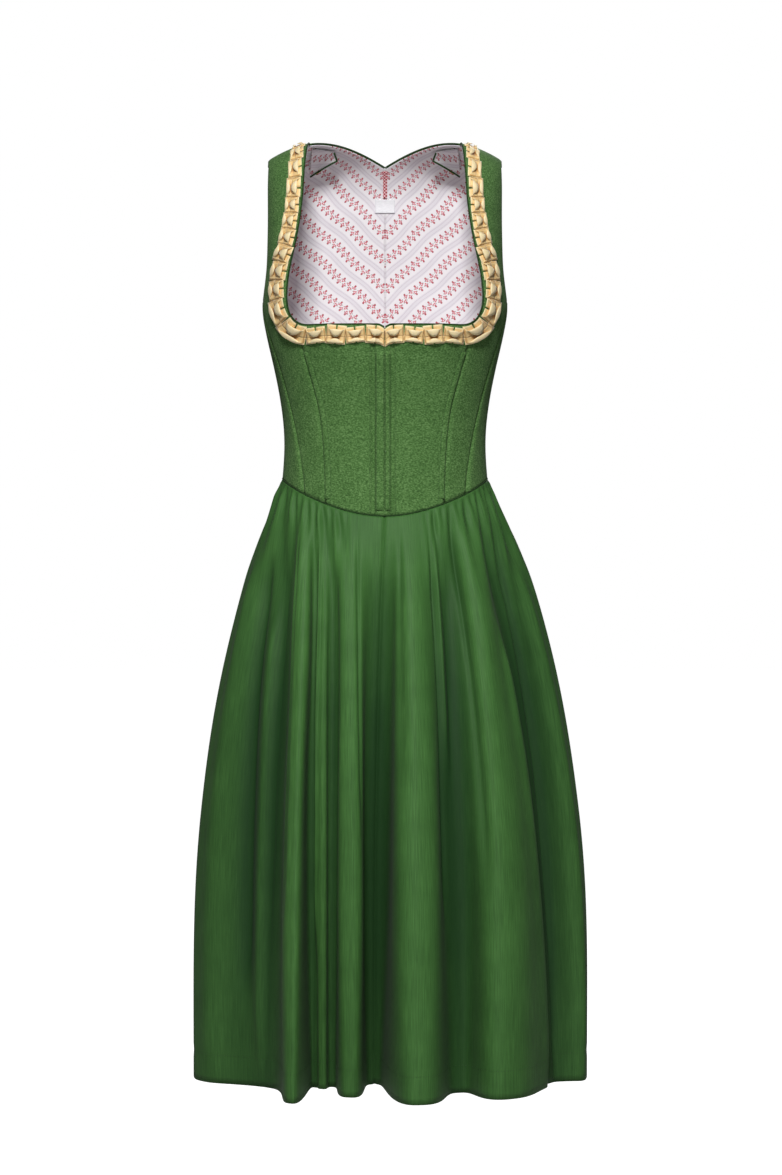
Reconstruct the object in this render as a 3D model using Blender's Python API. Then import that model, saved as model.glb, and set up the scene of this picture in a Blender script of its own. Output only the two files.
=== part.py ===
"""A dirndl dress, filled out as it is worn: a boned bodice with a wide neckline, and a gathered skirt.

The origin lies between the shoulder straps, level with their tops. +Z is up, the front faces -Y and
the wearer's left is +X. The functions below work in millimetres; a piece is scaled to metres when it is made.

Every panel is a sheet laid on one torso form. A place on the form is an angle, in degrees from the
centre front (0) by the left side (90) to the centre back (180), and a level, which is the height z up to
SHOULDER_Z. Above that the level counts on to 0 at the top of the shoulder, along an arch over it.
"""
import math
from collections import namedtuple

import bmesh
import bpy
from mathutils import Vector

MM = 0.001

# Driving sizes
WAIST_Z = -400.0            # waist seam at the sides
WAIST_FRONT_DIP = 47.0      # how far it dips to the centre front
WAIST_BACK_DIP = 10.0
HEM_Z = -1115.0
SHOULDER_Z = -70.0          # where the straps start to bend over the shoulders
SHOULDER_TOP = 6.0          # height of the shoulder line if it went on to the centre
SHOULDER_FALL = 28.0        # how much lower it is at STRAP_REACH from the centre
STRAP_REACH = 138.0
FRONT_WALL = 2.0
BACK_WALL = 1.4
LINING_WALL = 1.0
SKIRT_WALL = 1.6
GAP = 0.3                   # between neighbouring pieces
LAY = 1.1                   # between a curved panel and what lies on it
INSIDE_LAY = 2.9            # and in the hollow of the back, where flat facets reach further in
PIPING_RADIUS = 1.0

# The torso's rings: half width, depth to the front and back, and how square the ring is (2 is an ellipse)
Ring = namedtuple("Ring", "z half front back square")
RINGS = [
    Ring(-470.0, 134.0, 110.0, 108.0, 2.15),
    Ring(-430.0, 126.5, 103.5, 97.0, 2.15),
    Ring(-400.0, 122.0, 101.0, 92.0, 2.15),
    Ring(-360.0, 119.8, 99.5, 88.0, 2.2),
    Ring(-320.0, 122.3, 102.0, 88.0, 2.2),
    Ring(-270.0, 131.8, 112.0, 93.0, 2.25),
    Ring(-225.0, 142.2, 122.0, 98.0, 2.35),
    Ring(-200.0, 145.4, 123.0, 100.0, 2.4),
    Ring(-150.0, 143.0, 113.0, 102.0, 2.7),
    Ring(-110.0, 142.0, 102.0, 101.0, 3.0),
    Ring(-70.0, 142.0, 96.0, 97.0, 3.2),
    Ring(-30.0, 142.0, 95.0, 96.0, 3.2),
]
BUST_DEG, BUST_SPREAD_DEG = 34.0, 19.0      # each bust cup's middle and spread round the form
BUST_Z, BUST_SPREAD_Z = -212.0, 48.0
BUST_FULLNESS = 7.0

# The bodice's seams, in degrees, from the waist to the armhole
Seams = namedtuple("Seams", "z princess side_front side_back")
SEAMS = [
    Seams(-470.0, 37.0, 50.0, 140.0),
    Seams(-406.0, 39.5, 55.5, 136.0),
    Seams(-365.0, 41.2, 61.0, 131.0),
    Seams(-325.0, 43.0, 66.5, 124.0),
    Seams(-280.0, 45.6, 70.0, 116.0),
    Seams(-240.0, 46.8, 73.5, 108.0),
    Seams(-190.0, 46.0, 83.2, 99.8),
]
ARMHOLE_DEG, ARMHOLE_HALF_DEG = 91.5, 18.0  # its middle and half width
ARMHOLE_Z, ARMHOLE_DROP = -95.0, 102.0      # below this level its bottom rounds, this far down
ARMHOLE_ROUND = 2.4

# The front neckline: half width at each level, a rounded corner, and a level bottom
Neck = namedtuple("Neck", "level half")
NECK_SIDES = [Neck(-188.0, 114.0), Neck(-164.0, 111.5), Neck(-123.0, 102.5), Neck(-87.0, 96.7),
              Neck(-40.0, 92.5), Neck(0.0, 89.0)]
NECK_BOTTOM = -225.3
NECK_CORNER = 28.0
NECK_NOTCH, NECK_NOTCH_HALF = 3.6, 6.0      # the small dip where the closure's edges part
NECK_ROUND = 2.5
NECK_BACK_LEVEL, NECK_BACK_HALF = -38.0, 88.0   # the back neckline is a V from this level
EDGE_INSET = 3.2                            # from the neckline to the panels' raw edges: the piping's room
TRIM_START, TRIM_WIDTH, TRIM_HEIGHT = 4.6, 20.0, 5.0

# The skirt: its flare and its folds. A fold's foot is where it starts on the waist seam, in degrees; at the
# hem it has moved to hem_x, and lies inset from the hem's outline, turning in a curve about as long as round.
HEM_HALF, HEM_FRONT, HEM_BACK = 234.0, 200.0, 195.0
FLARE_POWER, FOLD_POWER = 2.5, 1.3
HEM_SWAY = 6.0                              # how far the hem hangs to the wearer's left of the waist
Fold = namedtuple("Fold", "name waist_deg hem_x inset round")
FOLDS = [
    Fold("right side ridge", -93.0, -234.0, -15.0, 34.0),
    Fold("right side valley", -60.0, -142.0, 91.0, 26.0),
    Fold("pipe ridge", -48.0, -112.0, -11.0, 15.0),
    Fold("pipe valley", -43.0, -89.0, 120.0, 6.0),
    Fold("tucked ridge", -37.0, -79.0, 112.0, 6.0),
    Fold("tucked valley", -31.0, -67.0, 128.0, 6.0),
    Fold("right front ridge", -24.0, -48.0, 54.0, 15.0),
    Fold("centre front valley", 0.0, -18.0, 152.0, 9.0),
    Fold("left front ridge", 14.0, 32.0, -3.0, 32.0),
    Fold("left front valley", 32.0, 81.0, 78.0, 16.0),
    Fold("broad ridge", 46.0, 138.0, 10.0, 40.0),
    Fold("left side valley", 62.0, 190.0, 86.0, 12.0),
    Fold("left side ridge", 93.0, 234.0, -10.0, 24.0),
    Fold("back valley 1", 104.0, 176.0, 78.0, 14.0),
    Fold("back ridge 1", 114.0, 205.0, -4.0, 22.0),
    Fold("back valley 2", 124.0, 140.0, 61.0, 14.0),
    Fold("back ridge 2", 136.0, 128.0, -3.0, 24.0),
    Fold("back valley 3", 148.0, 92.0, 67.0, 12.0),
    Fold("back ridge 3", 159.0, 70.0, -4.0, 22.0),
    Fold("back valley 4", 170.0, 36.0, 73.0, 12.0),
    Fold("centre back ridge", 181.0, -4.0, 6.0, 24.0),
    Fold("back valley 5", 192.0, -38.0, 80.0, 12.0),
    Fold("back ridge 5", 203.0, -72.0, -5.0, 22.0),
    Fold("back valley 6", 214.0, -98.0, 62.0, 12.0),
    Fold("back ridge 6", 226.0, -138.0, -2.0, 22.0),
    Fold("back valley 7", 238.0, -152.0, 56.0, 14.0),
    Fold("back ridge 7", 249.0, -204.0, -2.0, 22.0),
    Fold("back valley 8", 258.0, -184.0, 74.0, 12.0),
]
CENTRE_FRONT_FOLD, LEFT_SIDE_FOLD = 7, 12   # rows of FOLDS where the skirt's seams lie
FOLD_STEPS = 4                              # columns from each ridge to its valley
SKIRT_ROWS = 7

# Small pieces
CLOSURE_LEFT, CLOSURE_RIGHT = 6.5, 11.0     # widths of the closure's folded edges
CLOSURE_TOP, CLOSURE_FOOT = -258.0, 7.0     # its top, and how far it stops above the waist seam
CHANNEL_WIDTH, CHANNEL_INSET = 7.0, 1.0     # its width, and its distance from the princess seam
CHANNEL_TOP, CHANNEL_FOOT = -256.0, -428.0
FLAT_PIECE_WALL = 1.0
TAPE_WIDTH, TAPE_TOP, TAPE_FOOT = 5.0, -23.0, -55.5
LABEL_WIDTH, LABEL_TOP, LABEL_FOOT = 24.0, -57.0, -74.0

Fabric = namedtuple("Fabric", "colour roughness")
FABRICS = {
    "bodice wool": Fabric((0.072, 0.150, 0.048), 0.85),
    "skirt sateen": Fabric((0.055, 0.135, 0.045), 0.5),
    "lining cotton": Fabric((0.72, 0.63, 0.64), 0.8),
    "piping cotton": Fabric((0.018, 0.048, 0.016), 0.7),
    "trim ribbon": Fabric((0.75, 0.54, 0.26), 0.6),
    "red tape": Fabric((0.42, 0.02, 0.03), 0.7),
    "label satin": Fabric((0.55, 0.55, 0.56), 0.5),
}


def mix(a, b, t):
    return a + (b - a) * t


def table(rows, key, value, at):
    """A column of a table at any place between its rows, on a smooth curve through them."""
    keys = [getattr(row, key) for row in rows]
    values = [getattr(row, value) for row in rows]
    at = min(max(at, keys[0]), keys[-1])
    i = next(j for j in range(len(keys) - 1) if at <= keys[j + 1])
    slopes = []
    for j in (i, i + 1):
        low, high = max(j - 1, 0), min(j + 1, len(keys) - 1)
        slopes.append((values[high] - values[low]) / (keys[high] - keys[low]))
    span = keys[i + 1] - keys[i]
    t = (at - keys[i]) / span
    return (values[i] * (1 + 2 * t) * (1 - t) ** 2 + values[i + 1] * t * t * (3 - 2 * t)
            + span * t * (1 - t) * (slopes[0] * (1 - t) - slopes[1] * t))


# ---- the torso form ----

def ring_radius(deg, z):
    across, toward = abs(math.sin(math.radians(deg))), math.cos(math.radians(deg))
    depth = table(RINGS, "z", "front" if toward > 0 else "back", z)
    half, square = table(RINGS, "z", "half", z), table(RINGS, "z", "square", z)
    radius = ((across / half) ** square + (abs(toward) / depth) ** square) ** (-1 / square)
    cup = ((abs(deg) - BUST_DEG) / BUST_SPREAD_DEG) ** 2 + ((z - BUST_Z) / BUST_SPREAD_Z) ** 2
    return radius + BUST_FULLNESS * math.exp(-cup)


def form(deg, level):
    """The point of the form's outer face at an angle and a level."""
    z = min(level, SHOULDER_Z)
    radius = ring_radius(deg, z)
    x, y = radius * math.sin(math.radians(deg)), -radius * math.cos(math.radians(deg))
    if level > SHOULDER_Z:
        bend = math.pi / 2 * (level - SHOULDER_Z) / -SHOULDER_Z
        y *= math.cos(bend)
        z += (SHOULDER_TOP - SHOULDER_FALL * abs(x / STRAP_REACH) ** 3 - SHOULDER_Z) * math.sin(bend)
    return Vector((x, y, z))


def lifted(surface, a, b, lift, step_a, step_b):
    """A point of a surface, moved out along its normal."""
    across = surface(a + step_a, b) - surface(a - step_a, b)
    up = surface(a, b + step_b) - surface(a, b - step_b)
    return surface(a, b) + across.cross(up).normalized() * lift


def on_form(deg, level, lift):
    return lifted(form, deg, level, lift, 0.4, 1.0)


def degrees_for(length, deg, level):
    """The angle that a length round the form takes up."""
    return math.degrees(length / ring_radius(deg, min(level, SHOULDER_Z)))


def angle_at_x(x, level, back=False):
    """The angle of the form at a distance x from the centre plane, found by halving."""
    low, high = (180.0, 90.0) if back else (0.0, 90.0)
    for _ in range(30):
        middle = (low + high) / 2
        if form(middle, level).x < x:
            low = middle
        else:
            high = middle
    return middle


def waist_z(deg):
    toward = math.cos(math.radians(deg))
    return WAIST_Z - (WAIST_FRONT_DIP if toward > 0 else WAIST_BACK_DIP) * abs(toward) ** 1.6


def seam(name, level):
    return table(SEAMS, "z", name, level)


def armhole_half(level):
    """Half the armhole's width in degrees at a level."""
    drop = min(max((ARMHOLE_Z - level) / ARMHOLE_DROP, 0.0), 1.0)
    return ARMHOLE_HALF_DEG * (1 - drop ** ARMHOLE_ROUND) ** (1 / ARMHOLE_ROUND)


def armhole_bottom(deg):
    off = min(abs(deg - ARMHOLE_DEG) / ARMHOLE_HALF_DEG, 1.0)
    return ARMHOLE_Z - ARMHOLE_DROP * (1 - off ** ARMHOLE_ROUND) ** (1 / ARMHOLE_ROUND)


# ---- the neckline, as a path from the centre front to the top of the shoulder ----

ROUTE_FLAT_STEPS, ROUTE_CORNER_STEPS, ROUTE_SIDE_STEPS = 24, 24, 30


def neck_route():
    route = []
    flat = NECK_SIDES[0].half - NECK_CORNER
    for i in range(ROUTE_FLAT_STEPS):
        x = flat * i / ROUTE_FLAT_STEPS
        route.append(Vector((x, NECK_BOTTOM - NECK_NOTCH * max(0.0, 1 - x / NECK_NOTCH_HALF))))
    drop = NECK_SIDES[0].level - NECK_BOTTOM
    for i in range(ROUTE_CORNER_STEPS):
        turn = math.pi / 2 * i / ROUTE_CORNER_STEPS
        route.append(Vector((flat + NECK_CORNER * math.sin(turn) ** (2 / NECK_ROUND),
                             NECK_SIDES[0].level - drop * math.cos(turn) ** (2 / NECK_ROUND))))
    for i in range(ROUTE_SIDE_STEPS + 1):
        level = mix(NECK_SIDES[0].level, 0.0, i / ROUTE_SIDE_STEPS)
        route.append(Vector((table(NECK_SIDES, "level", "half", level), level)))
    return route


ROUTE = neck_route()
LENGTHS = [0.0]
for first, second in zip(ROUTE, ROUTE[1:]):
    LENGTHS.append(LENGTHS[-1] + (second - first).length)
NECK_LENGTH = LENGTHS[-1]


def neck_point(length):
    length = min(max(length, 0.0), NECK_LENGTH)
    i = next(j for j in range(len(LENGTHS) - 1) if length <= LENGTHS[j + 1])
    return ROUTE[i].lerp(ROUTE[i + 1], (length - LENGTHS[i]) / (LENGTHS[i + 1] - LENGTHS[i]))


def neck(length, outward):
    """A place beside the neckline: x and level, outward from it by a distance."""
    ahead = neck_point(length + 4.0) - neck_point(length - 4.0)
    if length < 8.0:                        # the path meets the centre front square
        ahead = Vector((1.0, 0.0))
    if NECK_LENGTH - length < 4.0:
        ahead = Vector((0.0, 1.0))
    ahead.normalize()
    place = neck_point(length) + Vector((ahead.y, -ahead.x)) * outward
    return place.x, min(place.y, 0.0)


def neck_length_at_princess():
    """Where the princess seam meets the panels' neckline edge."""
    low, high = 0.0, NECK_LENGTH / 2
    for _ in range(30):
        middle = (low + high) / 2
        x, level = neck(middle, EDGE_INSET)
        if x < form(seam("princess", level), level).x:
            low = middle
        else:
            high = middle
    return middle


# ---- rows: neighbouring panels share them, so that their edges match all along a seam ----

CENTER_COLUMNS, FRONT_SIDE_COLUMNS, SIDE_COLUMNS = 6, 4, 5
LOWER_ROWS, UPPER_ROWS, SHOULDER_ROWS = 7, 4, 8      # to the neckline, to the underarm, over the shoulder
PRINCESS_LENGTH = neck_length_at_princess()
PRINCESS_TOP = neck(PRINCESS_LENGTH, EDGE_INSET)[1]
UNDERARM = SEAMS[-1].z
SEAM_FOOT_GAP = PIPING_RADIUS + LAY


def seam_foot(name):
    """The angle at which a seam reaches the waist."""
    deg = seam(name, WAIST_Z)
    for _ in range(4):
        deg = seam(name, waist_z(deg))
    return deg


def foot_level(deg):
    return waist_z(deg) + SEAM_FOOT_GAP


def closer_at_top(share):
    """Rows lie closer together towards the shoulder, where the form bends."""
    return 1 - (1 - share) ** 1.5


def row_level(foot, row):
    if row <= LOWER_ROWS:
        return mix(foot, PRINCESS_TOP, row / LOWER_ROWS)
    if row <= LOWER_ROWS + UPPER_ROWS:
        return mix(PRINCESS_TOP, UNDERARM, (row - LOWER_ROWS) / UPPER_ROWS)
    return mix(UNDERARM, 0.0, closer_at_top((row - LOWER_ROWS - UPPER_ROWS) / SHOULDER_ROWS))


def neck_stations(parts):
    """Lengths along the neckline at its panels' columns and rows, each interval cut into parts."""
    corner_end = LENGTHS[ROUTE_FLAT_STEPS + ROUTE_CORNER_STEPS]
    stations = [PRINCESS_LENGTH * i / CENTER_COLUMNS for i in range(CENTER_COLUMNS)]
    stations += [mix(PRINCESS_LENGTH, corner_end, i / UPPER_ROWS) for i in range(UPPER_ROWS)]
    shares = [closer_at_top(i / SHOULDER_ROWS) for i in range(SHOULDER_ROWS + 1)]
    stations += [mix(corner_end, NECK_LENGTH, share) for share in shares]
    finer = []
    for here, after in zip(stations, stations[1:]):
        finer += [mix(here, after, i / parts) for i in range(parts)]
    return finer + [stations[-1]]


# ---- making pieces ----

def make_object(name, mesh, fabric):
    mesh.materials.append(bpy.data.materials.get(fabric) or new_material(fabric))
    piece = bpy.data.objects.new(name, mesh)
    collection.objects.link(piece)
    return piece


def new_material(fabric):
    material = bpy.data.materials.new(fabric)
    material.use_nodes = True
    shader = material.node_tree.nodes["Principled BSDF"]
    shader.inputs["Base Color"].default_value = (*FABRICS[fabric].colour, 1.0)
    shader.inputs["Roughness"].default_value = FABRICS[fabric].roughness
    return material


def cloth(name, fabric, columns, rows, place, top, wall, mirrored=False):
    """A sheet of cloth. place(across, up, lift) gives its points, with across and up from 0 to 1;
    its outer face is lifted by top, and its inner face lies a wall's thickness below."""
    bm = bmesh.new()
    bmesh.ops.create_grid(bm, x_segments=columns, y_segments=rows, size=0.5)
    outer = [(vert, vert.co.x + 0.5, vert.co.y + 0.5) for vert in bm.verts]
    places = {(round(across, 5), round(up, 5)): (across, up) for _, across, up in outer}
    extruded = bmesh.ops.extrude_face_region(bm, geom=bm.faces[:], use_keep_orig=True)
    inner = [item for item in extruded["geom"] if isinstance(item, bmesh.types.BMVert)]
    inner = [(vert, *places[(round(vert.co.x + 0.5, 5), round(vert.co.y + 0.5, 5))]) for vert in inner]
    side = -1.0 if mirrored else 1.0
    for verts, lift in ((outer, top), (inner, top - wall)):
        for vert, across, up in verts:
            point = place(across, up, lift)
            vert.co = Vector((point.x * side, point.y, point.z)) * MM
    bmesh.ops.recalc_face_normals(bm, faces=bm.faces)
    if bm.calc_volume(signed=True) < 0:
        bmesh.ops.reverse_faces(bm, faces=bm.faces)
    mesh = bpy.data.meshes.new(name)
    bm.to_mesh(mesh)
    bm.free()
    mesh.shade_smooth()
    return make_object(name, mesh, fabric)


def cord(name, fabric, points, radius, ring=False):
    """A round cord through points, as a curve with a bevel."""
    curve = bpy.data.curves.new(name, "CURVE")
    curve.dimensions = "3D"
    curve.bevel_depth = radius * MM
    curve.bevel_resolution = 1
    curve.use_fill_caps = not ring
    spline = curve.splines.new("POLY")
    spline.points.add(len(points) - 1)
    for target, point in zip(spline.points, points):
        target.co = (*(point * MM), 1.0)
    spline.use_cyclic_u = ring
    return make_object(name, curve, fabric)


def both_sides(name, build):
    for side, mirrored in (("left", False), ("right", True)):
        build(f"{name}_{side}", mirrored)


# ---- the bodice ----

def inside_seams(deg, level, low, high):
    """An angle kept half a gap inside its panel's two seams."""
    margin = degrees_for(GAP / 2, deg, level)
    return min(max(deg, low + margin), high - margin)


def front_center(name, mirrored):
    def place(across, up, lift):
        x, top = neck(PRINCESS_LENGTH * across, EDGE_INSET)
        level = mix(foot_level(seam_foot("princess") * across), top, up)
        top_share = angle_at_x(x, top) / seam("princess", top)
        princess = seam("princess", level)
        deg = princess * mix(across, top_share, up)
        return on_form(inside_seams(deg, level, 0.0, princess), level, lift)
    cloth(name, "bodice wool", CENTER_COLUMNS, LOWER_ROWS, place, 0.0, FRONT_WALL, mirrored)


def front_side(name, mirrored):
    stations = neck_stations(1)[CENTER_COLUMNS:]
    rows = LOWER_ROWS + UPPER_ROWS + SHOULDER_ROWS
    inner_foot, outer_foot = seam_foot("princess"), seam_foot("side_front")

    def place(across, up, lift):
        row = round(up * rows)
        outer_level = row_level(foot_level(outer_foot), row)
        if row <= LOWER_ROWS:
            inner_level = row_level(foot_level(inner_foot), row)
            inner = seam("princess", inner_level)
            foot = foot_level(mix(inner_foot, outer_foot, across))
            level = mix(foot, PRINCESS_TOP, row / LOWER_ROWS)
        else:
            x, inner_level = neck(stations[row - LOWER_ROWS], EDGE_INSET)
            inner = angle_at_x(x, inner_level)
            level = mix(inner_level, outer_level, across)
        if outer_level < UNDERARM:
            outer = seam("side_front", outer_level)
        else:
            outer = ARMHOLE_DEG - armhole_half(outer_level)
        level = min(level, -GAP / 2)
        return on_form(inside_seams(mix(inner, outer, across), level, inner, outer), level, lift)
    cloth(name, "bodice wool", FRONT_SIDE_COLUMNS, rows, place, 0.0, FRONT_WALL, mirrored)


def side(name, mirrored):
    rows = LOWER_ROWS + UPPER_ROWS

    def place(across, up, lift):
        row = round(up * rows)
        foot = foot_level(mix(seam_foot("side_front"), seam_foot("side_back"), across))
        level = row_level(foot, row)
        low, high = seam("side_front", level), seam("side_back", level)
        deg = inside_seams(mix(low, high, across), level, low, high)
        if row > LOWER_ROWS:
            top = armhole_bottom(mix(seam("side_front", UNDERARM), seam("side_back", UNDERARM), across))
            level = mix(PRINCESS_TOP, top, (row - LOWER_ROWS) / UPPER_ROWS)
        return on_form(deg, level, lift)
    cloth(name, "bodice wool", SIDE_COLUMNS, rows, place, 0.0, FRONT_WALL, mirrored)


def back_outer(level):
    """The back panel's outer edge: the side-back seam, then the armhole."""
    if level < UNDERARM:
        return seam("side_back", level)
    return ARMHOLE_DEG + armhole_half(level)


BACK_COLUMNS = 7
BACK_NECK_COLUMNS = 4                       # the columns whose top is neckline, and not shoulder


def back_top(across):
    """The back panel's top edge: the V neckline, then the shoulder line."""
    outer = back_outer(0.0)
    reach = NECK_BACK_HALF + EDGE_INSET
    neck_share = across * BACK_COLUMNS / BACK_NECK_COLUMNS
    if neck_share >= 1:
        corner = angle_at_x(reach, 0.0, back=True)
        return mix(corner, outer, (neck_share - 1) / (BACK_COLUMNS / BACK_NECK_COLUMNS - 1)), -GAP / 2
    level = mix(NECK_BACK_LEVEL, 0.0, neck_share) - EDGE_INSET
    return angle_at_x(reach * neck_share, level, back=True), level


def back_panel(name, fabric, top, wall, mirrored):
    rows = LOWER_ROWS + UPPER_ROWS + SHOULDER_ROWS
    outer_foot = seam_foot("side_back")

    def place(across, up, lift):
        top_deg, top_level = back_top(across)
        reference = foot_level(outer_foot)
        share = 1 - row_level(reference, round(up * rows)) / reference
        level = mix(foot_level(mix(180.0, outer_foot, across)), top_level, share)
        top_share = (180.0 - top_deg) / (180.0 - back_outer(0.0))
        outer = back_outer(level)
        deg = mix(180.0, outer, mix(across, top_share, share ** 3))
        return on_form(inside_seams(deg, level, outer, 180.0), level, lift)
    cloth(name, fabric, BACK_COLUMNS, rows, place, top, wall, mirrored)


LINING_TOP = -(BACK_WALL + GAP)             # the lift of the lining's outer face
LINING_FACE = LINING_TOP - LINING_WALL      # and of the face that shows


def back(name, mirrored):
    back_panel(name, "bodice wool", 0.0, BACK_WALL, mirrored)


def back_lining(name, mirrored):
    back_panel(name, "lining cotton", LINING_TOP, LINING_WALL, mirrored)


# ---- what lies on the bodice ----

def closure(name, mirrored):
    width = CLOSURE_RIGHT if mirrored else CLOSURE_LEFT

    def place(across, up, lift):
        level = mix(waist_z(0.0) + CLOSURE_FOOT, CLOSURE_TOP, up)
        return on_form(degrees_for(mix(GAP / 2, width, across), 2.0, level), level, lift)
    cloth(name, "bodice wool", 2, 6, place, LAY + FLAT_PIECE_WALL, FLAT_PIECE_WALL, mirrored)


def boning_channel(name, mirrored):
    def place(across, up, lift):
        level = mix(CHANNEL_FOOT, CHANNEL_TOP, up)
        inward = CHANNEL_INSET + CHANNEL_WIDTH * (1 - across)
        princess = seam("princess", level)
        deg = princess - degrees_for(inward, princess, level)
        return on_form(deg, level, lift)
    cloth(name, "bodice wool", 2, 7, place, LAY + FLAT_PIECE_WALL, FLAT_PIECE_WALL, mirrored)


def trim(name, mirrored):
    stations = neck_stations(2)
    stations[0], stations[-1] = GAP, NECK_LENGTH - LAY

    def place(across, up, lift):
        length = stations[round(across * (len(stations) - 1))]
        x, level = neck(length, TRIM_START + TRIM_WIDTH * (1 - up))
        return on_form(angle_at_x(x, level), level, lift)
    cloth(name, "trim ribbon", len(stations) - 1, 2, place, LAY + TRIM_HEIGHT, TRIM_HEIGHT, mirrored)


def neck_piping(name, mirrored):
    stations = neck_stations(1)
    stations[0], stations[-1] = PIPING_RADIUS + GAP, NECK_LENGTH - LAY
    points = []
    for length in stations:
        x, level = neck(length, EDGE_INSET - LAY - PIPING_RADIUS)
        point = on_form(angle_at_x(x, level), level, -PIPING_RADIUS)
        points.append(Vector((-point.x if mirrored else point.x, point.y, point.z)))
    cord(name, "piping cotton", points, PIPING_RADIUS)


def neck_piping_back():
    columns = 4 * BACK_NECK_COLUMNS
    points = []
    for i in range(columns + 1):
        x = mix(-1.0, 1.0, i / columns) * (NECK_BACK_HALF - LAY)
        level = mix(NECK_BACK_LEVEL, 0.0, abs(x) / NECK_BACK_HALF) - EDGE_INSET + LAY + PIPING_RADIUS
        point = on_form(angle_at_x(abs(x), level, back=True), level, -PIPING_RADIUS)
        points.append(Vector((math.copysign(point.x, x), point.y, point.z)))
    cord("neck_piping_back", "piping cotton", points, PIPING_RADIUS)


def waist_piping():
    points = [on_form(deg, waist_z(deg), -PIPING_RADIUS) for deg in range(0, 360, 8)]
    cord("waist_piping", "piping cotton", points, PIPING_RADIUS, ring=True)


# ---- what shows on the inside of the back ----

STRAP_END_TOP = (62.0, 88.0)                # x at the centre and outer ends of the top edge
STRAP_END_FOOT = (59.0, 94.0)               # and of the free edge
STRAP_END_LEVELS = ((-17.6, -6.5), (-23.5, -38.0))    # levels at the same corners
STRAP_END_STAND = 5.0                       # how far the free edge stands off the lining
TRIM_END_ACROSS = (0.35, 0.75)              # the part of the strap end that its trim covers
TRIM_END_UP = (-0.14, 0.3)                  # and how far it hangs out below


def strap_end_place(across, up, lift):
    x = mix(mix(*STRAP_END_FOOT, across), mix(*STRAP_END_TOP, across), up)
    level = mix(mix(*STRAP_END_LEVELS[1], across), mix(*STRAP_END_LEVELS[0], across), up)
    return on_form(angle_at_x(x, level, back=True), level, lift - STRAP_END_STAND * (1 - up))


def strap_end(name, mirrored):
    top = LINING_FACE - INSIDE_LAY - LAY - FLAT_PIECE_WALL
    cloth(name, "lining cotton", 4, 3, strap_end_place, top, FRONT_WALL, mirrored)


def trim_end(name, mirrored):
    def place(across, up, lift):
        return strap_end_place(mix(*TRIM_END_ACROSS, across), mix(*TRIM_END_UP, up), lift)
    cloth(name, "trim ribbon", 3, 3, place, LINING_FACE - INSIDE_LAY, FLAT_PIECE_WALL, mirrored)


def level_at_z(z):
    """The level of a height near the centre back, on the arch over the shoulder."""
    if z <= SHOULDER_Z:
        return z
    bend = math.asin((z - SHOULDER_Z) / (SHOULDER_TOP - SHOULDER_Z))
    return SHOULDER_Z - SHOULDER_Z * bend / (math.pi / 2)


def centre_back_patch(name, fabric, width, top_z, foot_z):
    half = degrees_for(width / 2, 180.0, foot_z)

    def place(across, up, lift):
        return on_form(mix(180.0 - half, 180.0 + half, across), level_at_z(mix(foot_z, top_z, up)), lift)
    cloth(name, fabric, 4, 3, place, LINING_FACE - INSIDE_LAY, FLAT_PIECE_WALL)


# ---- the skirt ----

def flare(down):
    return 1 - max(1 - down, 0.0) ** FLARE_POWER


def fold_growth(down):
    return max(down, 0.0) ** FOLD_POWER


def waist_ring(deg):
    return form(deg, waist_z(deg))


def fold_point(index, down):
    """A ridge's or valley's point in plan, and the way the cloth runs there."""
    fold = FOLDS[index % len(FOLDS)]
    foot = waist_ring(fold.waist_deg)
    front = math.cos(math.radians(fold.waist_deg)) > 0
    widen = flare(down)
    half = mix(table(RINGS, "z", "half", foot.z), HEM_HALF, widen)
    waist_depth = table(RINGS, "z", "front" if front else "back", foot.z)
    depth = mix(waist_depth, HEM_FRONT if front else HEM_BACK, widen)
    x = mix(foot.x, fold.hem_x, widen)
    share = min(max(x / half, -1.0), 1.0)
    outline = depth * math.sqrt(1 - share * share)
    y = (outline - fold.inset * fold_growth(down)) * (-1 if front else 1)
    ahead = Vector((half * math.sqrt(1 - share * share) * (1 if front else -1), depth * share))
    return Vector((x, y)), ahead.normalized()


def skirt_curve(s, down):
    """The skirt's plan curve at a level: an S from each ridge to the next valley."""
    index = math.floor(s)
    t = (1 - math.cos(math.pi * (s - index))) / 2       # closer together where the cloth turns
    (start, start_way), (end, end_way) = fold_point(index, down), fold_point(index + 1, down)
    straight = (end - start).length / 3
    growth = fold_growth(down)
    start_reach = mix(straight, FOLDS[index % len(FOLDS)].round, growth)
    end_reach = mix(straight, FOLDS[(index + 1) % len(FOLDS)].round, growth)
    first, second = start + start_way * start_reach, end - end_way * end_reach
    return (start * (1 - t) ** 3 + first * 3 * t * (1 - t) ** 2 + second * 3 * t * t * (1 - t) + end * t ** 3)


def skirt_degrees(s):
    index = math.floor(s)
    turns, row = divmod(index, len(FOLDS))
    here, after = FOLDS[row].waist_deg, FOLDS[(row + 1) % len(FOLDS)].waist_deg
    if row == len(FOLDS) - 1:
        after += 360.0
    return mix(here, after, s - index) + 360.0 * turns


def skirt_form(s, down):
    deg = skirt_degrees(s)
    waist = waist_ring(deg)
    plan = skirt_curve(s, down) - skirt_curve(s, 0.0)
    seam_z = waist.z - SEAM_FOOT_GAP
    return Vector((waist.x + plan.x + HEM_SWAY * flare(down), waist.y + plan.y, mix(seam_z, HEM_Z, down)))


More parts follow.
